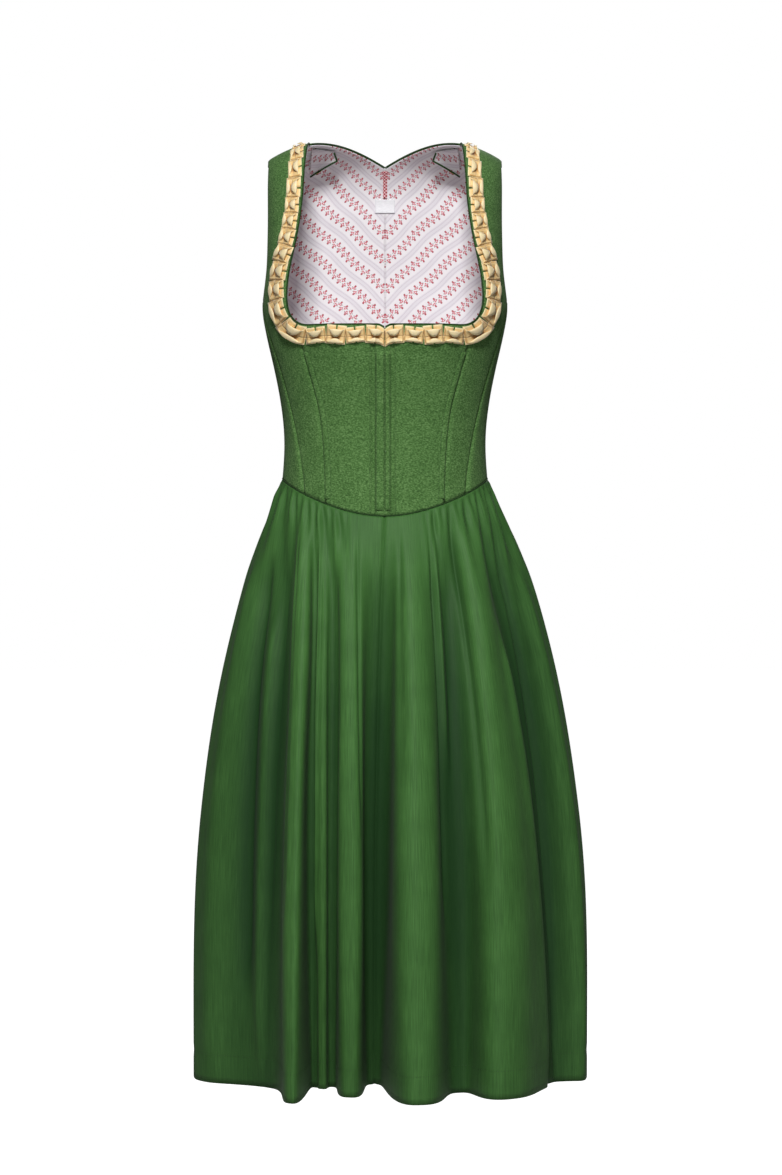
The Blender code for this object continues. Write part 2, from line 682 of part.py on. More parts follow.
def skirt(name, first_fold, last_fold):
    def place(across, up, lift):
        s = mix(first_fold, last_fold, across)
        down = 1 - up
        if across < 0.001 or across > 0.999:
            ahead = 0.01 if across < 0.5 else -0.01
            pace = (skirt_form(s + ahead, down) - skirt_form(s, down)).length
            s += ahead * GAP / 2 / pace
        return lifted(skirt_form, s, down, -lift, 0.01, 0.002)
    columns = (last_fold - first_fold) * FOLD_STEPS
    cloth(name, "skirt sateen", columns, SKIRT_ROWS, place, 0.0, SKIRT_WALL)


for old in list(bpy.data.objects):
    bpy.data.objects.remove(old)
collection = bpy.data.collections.new("dirndl_dress")
bpy.context.scene.collection.children.link(collection)

for piece_name, build_piece in (
        ("front_center", front_center), ("front_side", front_side), ("side", side), ("back", back),
        ("closure", closure), ("boning_channel", boning_channel), ("neck_piping", neck_piping),
        ("trim", trim), ("back_lining", back_lining), ("strap_end", strap_end), ("trim_end", trim_end)):
    both_sides(piece_name, build_piece)
neck_piping_back()
waist_piping()
centre_back_patch("back_tape", "red tape", TAPE_WIDTH, TAPE_TOP, TAPE_FOOT)
centre_back_patch("neck_label", "label satin", LABEL_WIDTH, LABEL_TOP, LABEL_FOOT)
skirt("skirt_front_right", 0, CENTRE_FRONT_FOLD)
skirt("skirt_front_left", CENTRE_FRONT_FOLD, LEFT_SIDE_FOLD)
skirt("skirt_back", LEFT_SIDE_FOLD, len(FOLDS))
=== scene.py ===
# %% [markdown]
# # A dirndl dress
# A dirndl is a fitted, boned bodice sewn to a full gathered skirt. This one is shown filled out, as if
# somebody wore it, with nobody inside. Each panel is real cloth: a thin sheet laid on one torso form, with
# its own seams. The sheets could be draped by simulation, but a boned bodice hardly moves, and the skirt's
# folds have known places. So both are laid by rule, and the fine gathers are added on top.

import math
from collections import namedtuple

import bpy
import numpy as np
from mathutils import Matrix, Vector


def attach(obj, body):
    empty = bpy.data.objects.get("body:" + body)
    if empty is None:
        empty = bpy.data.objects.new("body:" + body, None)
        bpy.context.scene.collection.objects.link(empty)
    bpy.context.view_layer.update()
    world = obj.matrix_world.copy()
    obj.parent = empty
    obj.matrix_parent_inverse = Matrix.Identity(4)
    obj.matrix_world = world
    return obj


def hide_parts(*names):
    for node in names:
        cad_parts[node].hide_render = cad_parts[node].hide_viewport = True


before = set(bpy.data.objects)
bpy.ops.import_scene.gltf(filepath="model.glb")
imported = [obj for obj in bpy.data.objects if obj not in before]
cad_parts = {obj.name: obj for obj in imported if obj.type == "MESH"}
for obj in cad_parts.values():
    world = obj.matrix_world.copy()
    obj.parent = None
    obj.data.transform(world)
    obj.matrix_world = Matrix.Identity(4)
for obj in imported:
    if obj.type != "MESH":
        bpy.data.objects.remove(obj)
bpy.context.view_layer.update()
MM = 0.001
print("the frame has", len(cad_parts), "nodes")


# %% [markdown]
# ## The torso form
# A place on the form is an angle, in degrees from the centre front (0) by the wearer's left (90) to the
# centre back (180), and a level: the height up to where the straps bend, which then counts on to 0 at the
# top of the shoulder. A table of rings gives its half width and depths, and a smooth curve runs through it.

# %% Sizes of the torso, in millimetres
WAIST_Z, WAIST_FRONT_DIP, WAIST_BACK_DIP = -400.0, 47.0, 10.0
HEM_Z = -1115.0
SHOULDER_Z, SHOULDER_TOP, SHOULDER_FALL, STRAP_REACH = -70.0, 6.0, 28.0, 138.0
Ring = namedtuple("Ring", "z half front back square")
RINGS = [
    Ring(-470.0, 134.0, 110.0, 108.0, 2.15),
    Ring(-430.0, 126.5, 103.5, 97.0, 2.15),
    Ring(-400.0, 122.0, 101.0, 92.0, 2.15),
    Ring(-360.0, 119.8, 99.5, 88.0, 2.2),
    Ring(-320.0, 122.3, 102.0, 88.0, 2.2),
    Ring(-270.0, 131.8, 112.0, 93.0, 2.25),
    Ring(-225.0, 142.2, 122.0, 98.0, 2.35),
    Ring(-200.0, 145.4, 123.0, 100.0, 2.4),
    Ring(-150.0, 143.0, 113.0, 102.0, 2.7),
    Ring(-110.0, 142.0, 102.0, 101.0, 3.0),
    Ring(-70.0, 142.0, 96.0, 97.0, 3.2),
    Ring(-30.0, 142.0, 95.0, 96.0, 3.2),
]
BUST_DEG, BUST_SPREAD_DEG, BUST_Z, BUST_SPREAD_Z, BUST_FULLNESS = 34.0, 19.0, -212.0, 48.0, 7.0
print("the waist is", round(4 * 1.11 * RINGS[2].half / 10 * 1.27), "cm round, roughly")


# %% Reading a table, and the form itself
def mix(a, b, t):
    return a + (b - a) * t


def smooth(low, high, value):
    t = np.clip((value - low) / (high - low), 0, 1)
    return t * t * (3 - 2 * t)


def table(rows, key, value, at):
    """A column of a table at any places between its rows, on a smooth curve through them."""
    keys = np.array([getattr(row, key) for row in rows])
    values = np.array([getattr(row, value) for row in rows])
    at = np.clip(at, keys[0], keys[-1])
    i = np.clip(np.searchsorted(keys, at) - 1, 0, len(keys) - 2)
    before, after = np.maximum(i - 1, 0), np.minimum(i + 2, len(keys) - 1)
    start = (values[i + 1] - values[before]) / (keys[i + 1] - keys[before])
    end = (values[after] - values[i]) / (keys[after] - keys[i])
    span = keys[i + 1] - keys[i]
    t = (at - keys[i]) / span
    return (values[i] * (1 + 2 * t) * (1 - t) ** 2 + values[i + 1] * t * t * (3 - 2 * t)
            + span * t * (1 - t) * (start * (1 - t) - end * t))


def ring_radius(deg, z):
    across, toward = np.abs(np.sin(np.radians(deg))), np.cos(np.radians(deg))
    depth = np.where(toward > 0, table(RINGS, "z", "front", z), table(RINGS, "z", "back", z))
    half, square = table(RINGS, "z", "half", z), table(RINGS, "z", "square", z)
    radius = ((across / half) ** square + (np.abs(toward) / depth) ** square) ** (-1 / square)
    cup = ((np.abs(deg) - BUST_DEG) / BUST_SPREAD_DEG) ** 2 + ((z - BUST_Z) / BUST_SPREAD_Z) ** 2
    return radius + BUST_FULLNESS * np.exp(-cup)


def form(deg, level):
    deg, level = np.broadcast_arrays(np.asarray(deg, float), np.asarray(level, float))
    z = np.minimum(level, SHOULDER_Z)
    radius = ring_radius(deg, z)
    x, y = radius * np.sin(np.radians(deg)), -radius * np.cos(np.radians(deg))
    bend = math.pi / 2 * np.maximum(level - SHOULDER_Z, 0) / -SHOULDER_Z
    rise = SHOULDER_TOP - SHOULDER_FALL * np.abs(x / STRAP_REACH) ** 3 - SHOULDER_Z
    return np.stack([x, y * np.cos(bend), z + rise * np.sin(bend)], axis=-1)


def on_form(deg, level, lift=0.0):
    """Points of the form, moved out along its normal."""
    across = form(np.add(deg, 0.4), level) - form(np.subtract(deg, 0.4), level)
    up = form(deg, np.add(level, 1.0)) - form(deg, np.subtract(level, 1.0))
    normal = np.cross(across, up)
    normal /= np.linalg.norm(normal, axis=-1, keepdims=True)
    return form(deg, level) + normal * np.asarray(lift)[..., None]


def degrees_for(length, deg, level):
    return np.degrees(length / ring_radius(deg, np.minimum(level, SHOULDER_Z)))


def angle_at_x(x, level, back=False):
    """The angle of the form at a distance x from the centre plane, found by halving."""
    x, level = np.broadcast_arrays(np.asarray(x, float), np.asarray(level, float))
    low, high = np.full(x.shape, 180.0 if back else 0.0), np.full(x.shape, 90.0)
    for _ in range(26):
        middle = (low + high) / 2
        short = form(middle, level)[..., 0] < x
        low, high = np.where(short, middle, low), np.where(short, high, middle)
    return middle


print("bust depth", np.round(form(BUST_DEG, BUST_Z)), "mm")


# %% [markdown]
# ## Seams and neckline
# A bodice gets its shape from its seams. The princess seam runs from the waist over the bust to the
# neckline, and two side seams run up to the armhole. The front neckline is a wide U with a level bottom.
# It is kept as a path with a length, so that the piping and the trim can follow it.

# %% Seams, waist and armhole
Seams = namedtuple("Seams", "z princess side_front side_back")
SEAMS = [
    Seams(-470.0, 37.0, 50.0, 140.0),
    Seams(-406.0, 39.5, 55.5, 136.0),
    Seams(-365.0, 41.2, 61.0, 131.0),
    Seams(-325.0, 43.0, 66.5, 124.0),
    Seams(-280.0, 45.6, 70.0, 116.0),
    Seams(-240.0, 46.8, 73.5, 108.0),
    Seams(-190.0, 46.0, 83.2, 99.8),
]
ARMHOLE_DEG, ARMHOLE_HALF_DEG, ARMHOLE_Z, ARMHOLE_DROP, ARMHOLE_ROUND = 91.5, 18.0, -95.0, 102.0, 2.4
UNDERARM = SEAMS[-1].z
SEAM_FOOT_GAP = 0.9                         # the panels stop at the waist piping's side


def waist_z(deg):
    toward = np.cos(np.radians(deg))
    dip = np.where(toward > 0, WAIST_FRONT_DIP, WAIST_BACK_DIP)
    return WAIST_Z - dip * np.abs(toward) ** 1.6


def seam(name, level):
    return table(SEAMS, "z", name, level)


def seam_foot(name):
    deg = seam(name, WAIST_Z)
    for _ in range(4):
        deg = seam(name, waist_z(deg))
    return deg


def foot_level(deg):
    return waist_z(deg) + SEAM_FOOT_GAP


def armhole_half(level):
    drop = np.clip((ARMHOLE_Z - level) / ARMHOLE_DROP, 0, 1)
    return ARMHOLE_HALF_DEG * (1 - drop ** ARMHOLE_ROUND) ** (1 / ARMHOLE_ROUND)


def armhole_bottom(deg):
    off = np.minimum(np.abs(deg - ARMHOLE_DEG) / ARMHOLE_HALF_DEG, 1)
    return ARMHOLE_Z - ARMHOLE_DROP * (1 - off ** ARMHOLE_ROUND) ** (1 / ARMHOLE_ROUND)


print("princess seam meets the waist at", round(float(seam_foot("princess")), 1), "degrees")

# %% The neckline's path
Neck = namedtuple("Neck", "level half")
NECK_SIDES = [Neck(-188.0, 114.0), Neck(-164.0, 111.5), Neck(-123.0, 102.5), Neck(-87.0, 96.7),
              Neck(-40.0, 92.5), Neck(0.0, 89.0)]
NECK_BOTTOM, NECK_CORNER, NECK_ROUND = -225.3, 28.0, 2.5
NECK_NOTCH, NECK_NOTCH_HALF = 3.6, 6.0
NECK_BACK_LEVEL, NECK_BACK_HALF = -38.0, 88.0
EDGE_INSET = 1.6                            # from the neckline to the panels' edges, under the piping
FLAT_STEPS, CORNER_STEPS, SIDE_STEPS = 24, 24, 30


def neck_route():
    flat = NECK_SIDES[0].half - NECK_CORNER
    x = flat * np.arange(FLAT_STEPS) / FLAT_STEPS
    bottom = np.stack([x, NECK_BOTTOM - NECK_NOTCH * np.maximum(0, 1 - x / NECK_NOTCH_HALF)], axis=-1)
    turn = math.pi / 2 * np.arange(CORNER_STEPS) / CORNER_STEPS
    drop = NECK_SIDES[0].level - NECK_BOTTOM
    corner = np.stack([flat + NECK_CORNER * np.sin(turn) ** (2 / NECK_ROUND),
                       NECK_SIDES[0].level - drop * np.cos(turn) ** (2 / NECK_ROUND)], axis=-1)
    level = np.linspace(NECK_SIDES[0].level, 0, SIDE_STEPS + 1)
    side_edge = np.stack([table(NECK_SIDES, "level", "half", level), level], axis=-1)
    return np.concatenate([bottom, corner, side_edge])


ROUTE = neck_route()
LENGTHS = np.concatenate([[0], np.cumsum(np.linalg.norm(np.diff(ROUTE, axis=0), axis=1))])
NECK_LENGTH = LENGTHS[-1]


def neck_point(length):
    return np.stack([np.interp(length, LENGTHS, ROUTE[:, i]) for i in (0, 1)], axis=-1)


def neck(length, outward):
    """Places beside the neckline: x and level, outward from it by a distance."""
    length, outward = np.broadcast_arrays(np.asarray(length, float), np.asarray(outward, float))
    ahead = neck_point(length + 4) - neck_point(length - 4)
    ahead[length < 8] = (1, 0)
    ahead[NECK_LENGTH - length < 4] = (0, 1)
    ahead /= np.linalg.norm(ahead, axis=-1, keepdims=True)
    place = neck_point(length) + np.stack([ahead[..., 1], -ahead[..., 0]], axis=-1) * outward[..., None]
    return place[..., 0], np.minimum(place[..., 1], 0)


def princess_length():
    low, high = 0.0, NECK_LENGTH / 2
    for _ in range(30):
        middle = (low + high) / 2
        x, level = neck(middle, EDGE_INSET)
        if x < form(seam("princess", level), level)[..., 0]:
            low = middle
        else:
            high = middle
    return middle


PRINCESS_LENGTH = princess_length()
PRINCESS_TOP = float(neck(PRINCESS_LENGTH, EDGE_INSET)[1])
print("the neckline is", round(2 * NECK_LENGTH), "mm long from shoulder to shoulder")


# %% [markdown]
# ## Fabrics
# One small function adds a node. Every colour is an sRGB hex value turned to linear by one other. The
# fabrics read Object coordinates, or the piece's own map in metres where a pattern runs with the cloth.

# %% Node and colour helpers
def colour(hex_value):
    channels = [int(hex_value[i:i + 2], 16) / 255 for i in (1, 3, 5)]
    return (*[c / 12.92 if c <= 0.04045 else ((c + 0.055) / 1.055) ** 2.4 for c in channels], 1.0)


def add(tree, kind, inputs=None, **settings):
    """Adds a node, sets its properties, then sets or links its inputs."""
    node = tree.nodes.new(kind)
    for key, value in settings.items():
        setattr(node, key, value)
    for key, value in (inputs or {}).items():
        if isinstance(value, bpy.types.NodeSocket):
            tree.links.new(value, node.inputs[key])
        else:
            node.inputs[key].default_value = value
    return node


def new_material(name, **values):
    """A material and its shader, with constant values set on the shader's own sockets."""
    material = bpy.data.materials.new(name)
    material.use_nodes = True
    shader = material.node_tree.nodes["Principled BSDF"]
    for key, value in values.items():
        shader.inputs[key.replace("_", " ")].default_value = value
    return material, material.node_tree, shader


def ramp(tree, factor, stops):
    node = add(tree, "ShaderNodeValToRGB", {"Fac": factor})
    elements = node.color_ramp.elements
    for element, (position, hex_value) in zip(elements, (stops[0], stops[-1])):
        element.position, element.color = position, colour(hex_value)
    for position, hex_value in stops[1:-1]:
        elements.new(position).color = colour(hex_value)
    return node.outputs["Color"]


print("white is", colour("#ffffff"))


# %% [markdown]
# ### The bodice's woollen linen
# The bodice cloth is spun from fibres of two greens, so it looks heathered: flecks of about 1 mm, a little
# longer across than up. Its nap scatters light, so it is matt, with a faint sheen at the edges. The weave
# of 0.5 mm is too fine to show, and is drawn as bumps about twice that size.

# %% Bodice cloth
def woollen_linen(name, dark, middle, light):
    material, tree, shader = new_material(name, Roughness=0.9, Sheen_Weight=0.03, Sheen_Roughness=0.6,
                                          Specular_IOR_Level=0.15)
    place = add(tree, "ShaderNodeTexCoord").outputs["Object"]
    flecks = add(tree, "ShaderNodeMapping", {"Vector": place, "Scale": (0.7, 0.7, 1.2)})
    fine = add(tree, "ShaderNodeTexNoise", {"Vector": flecks.outputs[0], "Scale": 620.0, "Detail": 3.0})
    broad = add(tree, "ShaderNodeTexNoise", {"Vector": place, "Scale": 45.0, "Detail": 2.0})
    share = add(tree, "ShaderNodeMix", {"Factor": 0.12, 2: fine.outputs["Fac"], 3: broad.outputs["Fac"]},
                data_type="FLOAT")
    tone = ramp(tree, share.outputs[0], [(0.34, dark), (0.5, middle), (0.66, light)])
    tree.links.new(tone, shader.inputs["Base Color"])
    weave = add(tree, "ShaderNodeTexNoise", {"Vector": place, "Scale": 1000.0, "Detail": 2.0})
    bump = add(tree, "ShaderNodeBump", {"Height": weave.outputs["Fac"], "Strength": 0.35, "Distance": 0.0006})
    tree.links.new(bump.outputs[0], shader.inputs["Normal"])
    return material


bodice_cloth = woollen_linen("heathered linen and wool, woven", "#395a2c", "#4f763d", "#6b9156")
# The piping's greens are darker than the bodice's: painted shade on the narrow, rounded cord.
piping_cloth = woollen_linen("cotton bias strip over cord, sewn", "#1b3017", "#27431f", "#325327")
print(bodice_cloth.name)


# %% [markdown]
# ### The skirt's cotton sateen
# Sateen floats its threads over four others, so it is smooth and has a soft sheen. Slubs in the thread
# give it faint streaks a few centimetres long down the cloth, which the piece's own map in metres carries.
# Between the folds, in creases and towards the sides the tone is darkened: painted shade, where little
# light gets in. An attribute of the cloth, made with the folds, says where.

# %% Skirt cloth
def cotton_sateen(name, painted_shade_green, dark, middle, light):
    material, tree, shader = new_material(name, Roughness=0.6, Sheen_Weight=0.02, Sheen_Roughness=0.45,
                                          Specular_IOR_Level=0.18)
    cloth = add(tree, "ShaderNodeUVMap", uv_map="Cloth").outputs[0]
    streaks = add(tree, "ShaderNodeMapping", {"Vector": cloth, "Scale": (900.0, 26.0, 1.0)})
    slubs = add(tree, "ShaderNodeTexNoise", {"Vector": streaks.outputs[0], "Scale": 1.0, "Detail": 3.0})
    place = add(tree, "ShaderNodeTexCoord").outputs["Object"]
    broad = add(tree, "ShaderNodeTexNoise", {"Vector": place, "Scale": 22.0, "Detail": 3.0})
    share = add(tree, "ShaderNodeMix", {"Factor": 0.3, 2: slubs.outputs["Fac"], 3: broad.outputs["Fac"]},
                data_type="FLOAT")
    tone = ramp(tree, share.outputs[0], [(0.34, dark), (0.5, middle), (0.66, light)])
    # Painted shade: where the attribute says, the tone goes towards a dark green.
    depth = add(tree, "ShaderNodeAttribute", attribute_name="Depth")
    painted_shade_mix = add(tree, "ShaderNodeMix", {"Factor": depth.outputs["Fac"], 6: tone, 7: colour(painted_shade_green)},
                   data_type="RGBA")
    tree.links.new(painted_shade_mix.outputs[2], shader.inputs["Base Color"])
    crumple = add(tree, "ShaderNodeTexNoise", {"Vector": place, "Scale": 70.0, "Detail": 3.0})
    bump = add(tree, "ShaderNodeBump", {"Height": crumple.outputs["Fac"], "Strength": 0.15,
                                        "Distance": 0.0015})
    tree.links.new(bump.outputs[0], shader.inputs["Normal"])
    return material


# The first green is painted shade, for the valleys between folds and the skirt's sides.
skirt_cloth = cotton_sateen("cotton sateen, woven and pressed", "#1c3d1d", "#3b6430", "#447137", "#4e7e3f")
print(skirt_cloth.name)


# %% [markdown]
# ### The trim's ribbon
# The trim is a cream ribbon with a fine rib across it, one rib in about 1.2 mm. It is folded, so light
# also comes through it: the folds are never black, only a deeper gold. Its light and shade are painted:
# an attribute of the pleats, made with them, is low in the shaded folds and high on the lit tops, with a
# painted highlight on the rims, and a ramp turns that into a tone.

# %% Ribbon
material, tree, shader = new_material("cream rayon ribbon, ribbed", Roughness=0.5, Sheen_Weight=0.2,
                                      Subsurface_Weight=0.1, Subsurface_Scale=0.003)
shader.inputs["Subsurface Radius"].default_value = (1.0, 0.6, 0.25)
ribbon = material
place = add(tree, "ShaderNodeTexCoord").outputs["Object"]
cloud = add(tree, "ShaderNodeTexNoise", {"Vector": place, "Scale": 260.0, "Detail": 2.0})
painted_light_share = add(tree, "ShaderNodeAttribute", attribute_name="PaintedLight")
share = add(tree, "ShaderNodeMix", {"Factor": 0.12, 2: painted_light_share.outputs["Fac"], 3: cloud.outputs["Fac"]},
            data_type="FLOAT")
# Painted shade and light: deep gold in the shaded folds, pale cream on the lit tops and rims.
tone = ramp(tree, share.outputs[0], [(0.02, "#b07a38"), (0.3, "#f4c986"), (0.6, "#ffe0a4"),
                                     (0.95, "#ffe8b6")])
tree.links.new(tone, shader.inputs["Base Color"])
rib_place = add(tree, "ShaderNodeUVMap", uv_map="Cloth").outputs[0]
ribs = add(tree, "ShaderNodeTexWave", {"Vector": rib_place, "Scale": 260.0, "Distortion": 0.4},
           bands_direction="X")
bump = add(tree, "ShaderNodeBump", {"Height": ribs.outputs["Fac"], "Strength": 0.2, "Distance": 0.0002})
tree.links.new(bump.outputs[0], shader.inputs["Normal"])
print(ribbon.name)


# %% [markdown]
# ### The lining's print
# The lining is white cotton printed with slanting garlands of small red flowers, 25 mm apart, and between
# them soft grey bands with two dotted lines. Each flower has three petals and a bud beside it, and the
# garlands bend a little, because the cloth isn't quite flat. Both halves of the back mirror it, so it
# makes chevrons.
# Each flower is drawn by arithmetic on the cloth's own map: which garland, which flower along it, then how
# far from that flower's middle. A table of sums is easier to read than a hundred node lines.

# %% Lining print
GARLAND_SLOPE, GARLAND_PITCH, FLOWER_PITCH, FLOWER_RADIUS = math.radians(42.0), 0.0255, 0.0043, 0.0026
material, tree, shader = new_material("printed cotton, plain weave", Roughness=0.85, Sheen_Weight=0.05)
lining_print = material
cloth = add(tree, "ShaderNodeUVMap", uv_map="Cloth").outputs[0]
split = add(tree, "ShaderNodeSeparateXYZ", {0: cloth})
wires = {"u": split.outputs[0], "v": split.outputs[1]}
PRINT_SUMS = [
    ("u along", "MULTIPLY", "u", math.cos(GARLAND_SLOPE)),
    ("v along", "MULTIPLY", "v", math.sin(GARLAND_SLOPE)),
    ("along", "ADD", "u along", "v along"),
    ("u off", "MULTIPLY", "u", math.sin(GARLAND_SLOPE)), ("v off", "MULTIPLY", "v", math.cos(GARLAND_SLOPE)),
    ("off flat", "SUBTRACT", "v off", "u off"),
    ("bend at", "MULTIPLY", "along", 95.0), ("bend", "SINE", "bend at", 0.0),
    ("off", "MULTIPLY_ADD", "bend", 0.0011, "off flat"),
    ("garland", "DIVIDE", "off", GARLAND_PITCH), ("share", "FRACT", "garland", 0.0),
    ("centred", "SUBTRACT", "share", 0.5), ("beside", "MULTIPLY", "centred", GARLAND_PITCH),
    ("count", "DIVIDE", "along", FLOWER_PITCH), ("number", "FLOOR", "count", 0.0),
    ("odd", "PINGPONG", "number", 1.0), ("side", "MULTIPLY_ADD", "odd", 2.0, -1.0),
    ("part", "FRACT", "count", 0.0), ("part centred", "SUBTRACT", "part", 0.5),
    ("x", "MULTIPLY", "part centred", FLOWER_PITCH),
    ("swing", "MULTIPLY", "side", 0.0018), ("y", "SUBTRACT", "beside", "swing"),
    ("angle", "ARCTAN2", "y", "x"), ("three", "MULTIPLY", "angle", 3.0),
    ("turn", "MULTIPLY_ADD", "number", 2.1, "three"),
    ("petals", "COSINE", "turn", 0.0),
    ("edge", "MULTIPLY_ADD", "petals", 0.2 * FLOWER_RADIUS, 0.75 * FLOWER_RADIUS),
    ("xx", "MULTIPLY", "x", "x"), ("yy", "MULTIPLY", "y", "y"), ("rr", "ADD", "xx", "yy"),
    ("r", "SQRT", "rr", 0.0), ("flower", "LESS_THAN", "r", "edge"), ("eye", "GREATER_THAN", "r", 0.0007),
    ("petal", "MULTIPLY", "flower", "eye"),
    ("bud swing", "MULTIPLY", "side", 0.0046), ("bud y", "SUBTRACT", "beside", "bud swing"),
    ("bud yy", "MULTIPLY", "bud y", "bud y"), ("bud rr", "ADD", "xx", "bud yy"),
    ("bud", "LESS_THAN", "bud rr", 0.0013 ** 2),
    ("leaf swing", "MULTIPLY", "side", -0.0020), ("leaf y", "SUBTRACT", "beside", "leaf swing"),
    ("leaf x", "ABSOLUTE", "x", 0.0), ("leaf dx", "SUBTRACT", "leaf x", 0.0018),
    ("leaf xx", "MULTIPLY", "leaf dx", "leaf dx"), ("leaf yy", "MULTIPLY", "leaf y", "leaf y"),
    ("leaf rr", "ADD", "leaf xx", "leaf yy"), ("leaf", "LESS_THAN", "leaf rr", 0.0008 ** 2),
    ("from garland", "ABSOLUTE", "beside", 0.0), ("from band", "SUBTRACT", GARLAND_PITCH / 2, "from garland"),
    ("band", "LESS_THAN", "from band", 0.0036),
    ("from line", "SUBTRACT", "from band", 0.0020), ("line off", "ABSOLUTE", "from line", 0.0),
    ("line", "LESS_THAN", "line off", 0.0005), ("dots", "DIVIDE", "along", 0.0016),
    ("dot share", "FRACT", "dots", 0.0), ("dot", "LESS_THAN", "dot share", 0.55),
    ("dotted", "MULTIPLY", "line", "dot"),
]
for name, operation, *operands in PRINT_SUMS:
    values = {i: wires.get(operand, operand) for i, operand in enumerate(operands)}
    wires[name] = add(tree, "ShaderNodeMath", values, operation=operation).outputs[0]
print("the print takes", len(PRINT_SUMS), "sums")

# %% Lining colours
tone = colour("#f1edf0")
for mask, ink, strength in (("band", "#d8d3dc", 0.45), ("dotted", "#bfaebb", 0.6), ("leaf", "#8f9a90", 0.8),
                            ("bud", "#a92038", 0.9), ("petal", "#cc4258", 0.85)):
    share = add(tree, "ShaderNodeMath", {0: wires[mask], 1: strength}, operation="MULTIPLY").outputs[0]
    layer = add(tree, "ShaderNodeMix", {"Factor": share, 6: tone, 7: colour(ink)}, data_type="RGBA")
    tone = layer.outputs[2]
tree.links.new(tone, shader.inputs["Base Color"])
place = add(tree, "ShaderNodeTexCoord").outputs["Object"]
weave = add(tree, "ShaderNodeTexNoise", {"Vector": place, "Scale": 900.0, "Detail": 2.0})
bump = add(tree, "ShaderNodeBump", {"Height": weave.outputs["Fac"], "Strength": 0.15, "Distance": 0.0004})
tree.links.new(bump.outputs[0], shader.inputs["Normal"])
print(lining_print.name)

# %% Tape, label and thread
# The tape is woven in a zigzag of red and white, one zig in 4 mm, and the label is plain satin.
material, tree, shader = new_material("herringbone cotton tape, woven", Roughness=0.7)
tape_cloth = material
cloth = add(tree, "ShaderNodeUVMap", uv_map="Cloth").outputs[0]
checks = add(tree, "ShaderNodeTexChecker", {"Vector": cloth, "Scale": 480.0,
                                            "Color1": colour("#9c1222"), "Color2": colour("#f3c4c8")})
tree.links.new(checks.outputs["Color"], shader.inputs["Base Color"])

material, tree, shader = new_material("polyester satin label, woven", Roughness=0.4, Sheen_Weight=0.2)
label_cloth = material
place = add(tree, "ShaderNodeTexCoord").outputs["Object"]
threads = add(tree, "ShaderNodeMapping", {"Vector": place, "Scale": (300.0, 300.0, 2500.0)})
grain = add(tree, "ShaderNodeTexNoise", {"Vector": threads.outputs[0], "Scale": 1.0})
tone = ramp(tree, grain.outputs["Fac"], [(0.3, "#e2e2e6"), (0.7, "#f2f2f5")])
tree.links.new(tone, shader.inputs["Base Color"])

material, tree, shader = new_material("polyester sewing thread, twisted", Roughness=0.45)
thread = material
place = add(tree, "ShaderNodeTexCoord").outputs["Object"]
twist = add(tree, "ShaderNodeTexNoise", {"Vector": place, "Scale": 1500.0})
tone = ramp(tree, twist.outputs["Fac"], [(0.3, "#25401f"), (0.7, "#3b5c31")])
tree.links.new(tone, shader.inputs["Base Color"])
print(len(bpy.data.materials), "materials so far")


# %% [markdown]
# ## From points to cloth
# A panel starts as a net of points. The net becomes a mesh with a map in metres, and a Solidify modifier
# gives it its wall, with the lining's print on the inner face.

# %% Making a sheet
def net(columns, rows):
    return np.meshgrid(np.linspace(0, 1, columns + 1), np.linspace(0, 1, rows + 1))


def run_length(points, axis):
    """Lengths along the net's rows or columns, from its first point."""
    steps = np.linalg.norm(np.diff(points, axis=axis), axis=-1)
    return np.concatenate([np.zeros_like(np.take(steps, [0], axis)), np.cumsum(steps, axis)], axis)


def normals(points):
    facing = np.cross(np.gradient(points, axis=1), np.gradient(points, axis=0))
    return facing / np.maximum(np.linalg.norm(facing, axis=-1, keepdims=True), 1e-9)


def make_mesh(name, points, cloth_map, turned=False):
    rows, columns = points.shape[:2]
    index = np.arange(rows * columns).reshape(rows, columns)
    quads = np.stack([index[:-1, :-1], index[:-1, 1:], index[1:, 1:], index[1:, :-1]], -1).reshape(-1, 4)
    if turned:
        quads = quads[:, ::-1]
    mesh = bpy.data.meshes.new(name)
    mesh.from_pydata((points.reshape(-1, 3) * MM).tolist(), [], quads.tolist())
    layer = mesh.uv_layers.new(name="Cloth")
    layer.data.foreach_set("uv", (cloth_map.reshape(-1, 2)[quads.reshape(-1)] * MM).ravel())
    mesh.shade_smooth()
    return mesh


def finish_piece(name, mesh, materials, nodes, wall=0.0, inner=0):
    """Links the piece, gives it its wall, and hides the frame's nodes that it stands for."""
    piece = bpy.data.objects.new(name, mesh)
    bpy.context.scene.collection.objects.link(piece)
    for material in materials:
        mesh.materials.append(material)
    if wall:
        solid = piece.modifiers.new("Wall", "SOLIDIFY")
        solid.thickness, solid.offset = wall * MM, -1.0
        solid.material_offset, solid.material_offset_rim = inner, 0
    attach(piece, "root")
    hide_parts(*nodes)
    pieces[name] = piece
    return piece


NARROWEST_CUT = 10.5                        # a strip's width with its turnings


def flat_size(points):
    """Its widest row and longest column, and the area of its net. A strip is cut with its turnings."""
    a, b = points[1:, 1:] - points[:-1, :-1], points[1:, :-1] - points[:-1, 1:]
    area = np.linalg.norm(np.cross(a, b), axis=-1).sum() / 2
    width, length = run_length(points, 1)[:, -1].max(), run_length(points, 0)[-1].max()
    width = max(width, NARROWEST_CUT)
    return width, max(length, area / width), area


pieces = {}
print("a net of 2 by 2 has", net(2, 2)[0].size, "points")


# %% [markdown]
# ## The bodice's panels
# Each panel lies between its seams, as it would be cut. Where two are sewn together, the cloth turns in and
# leaves a groove, so the surface dips towards each seam. The boned cloth has only faint ripples.

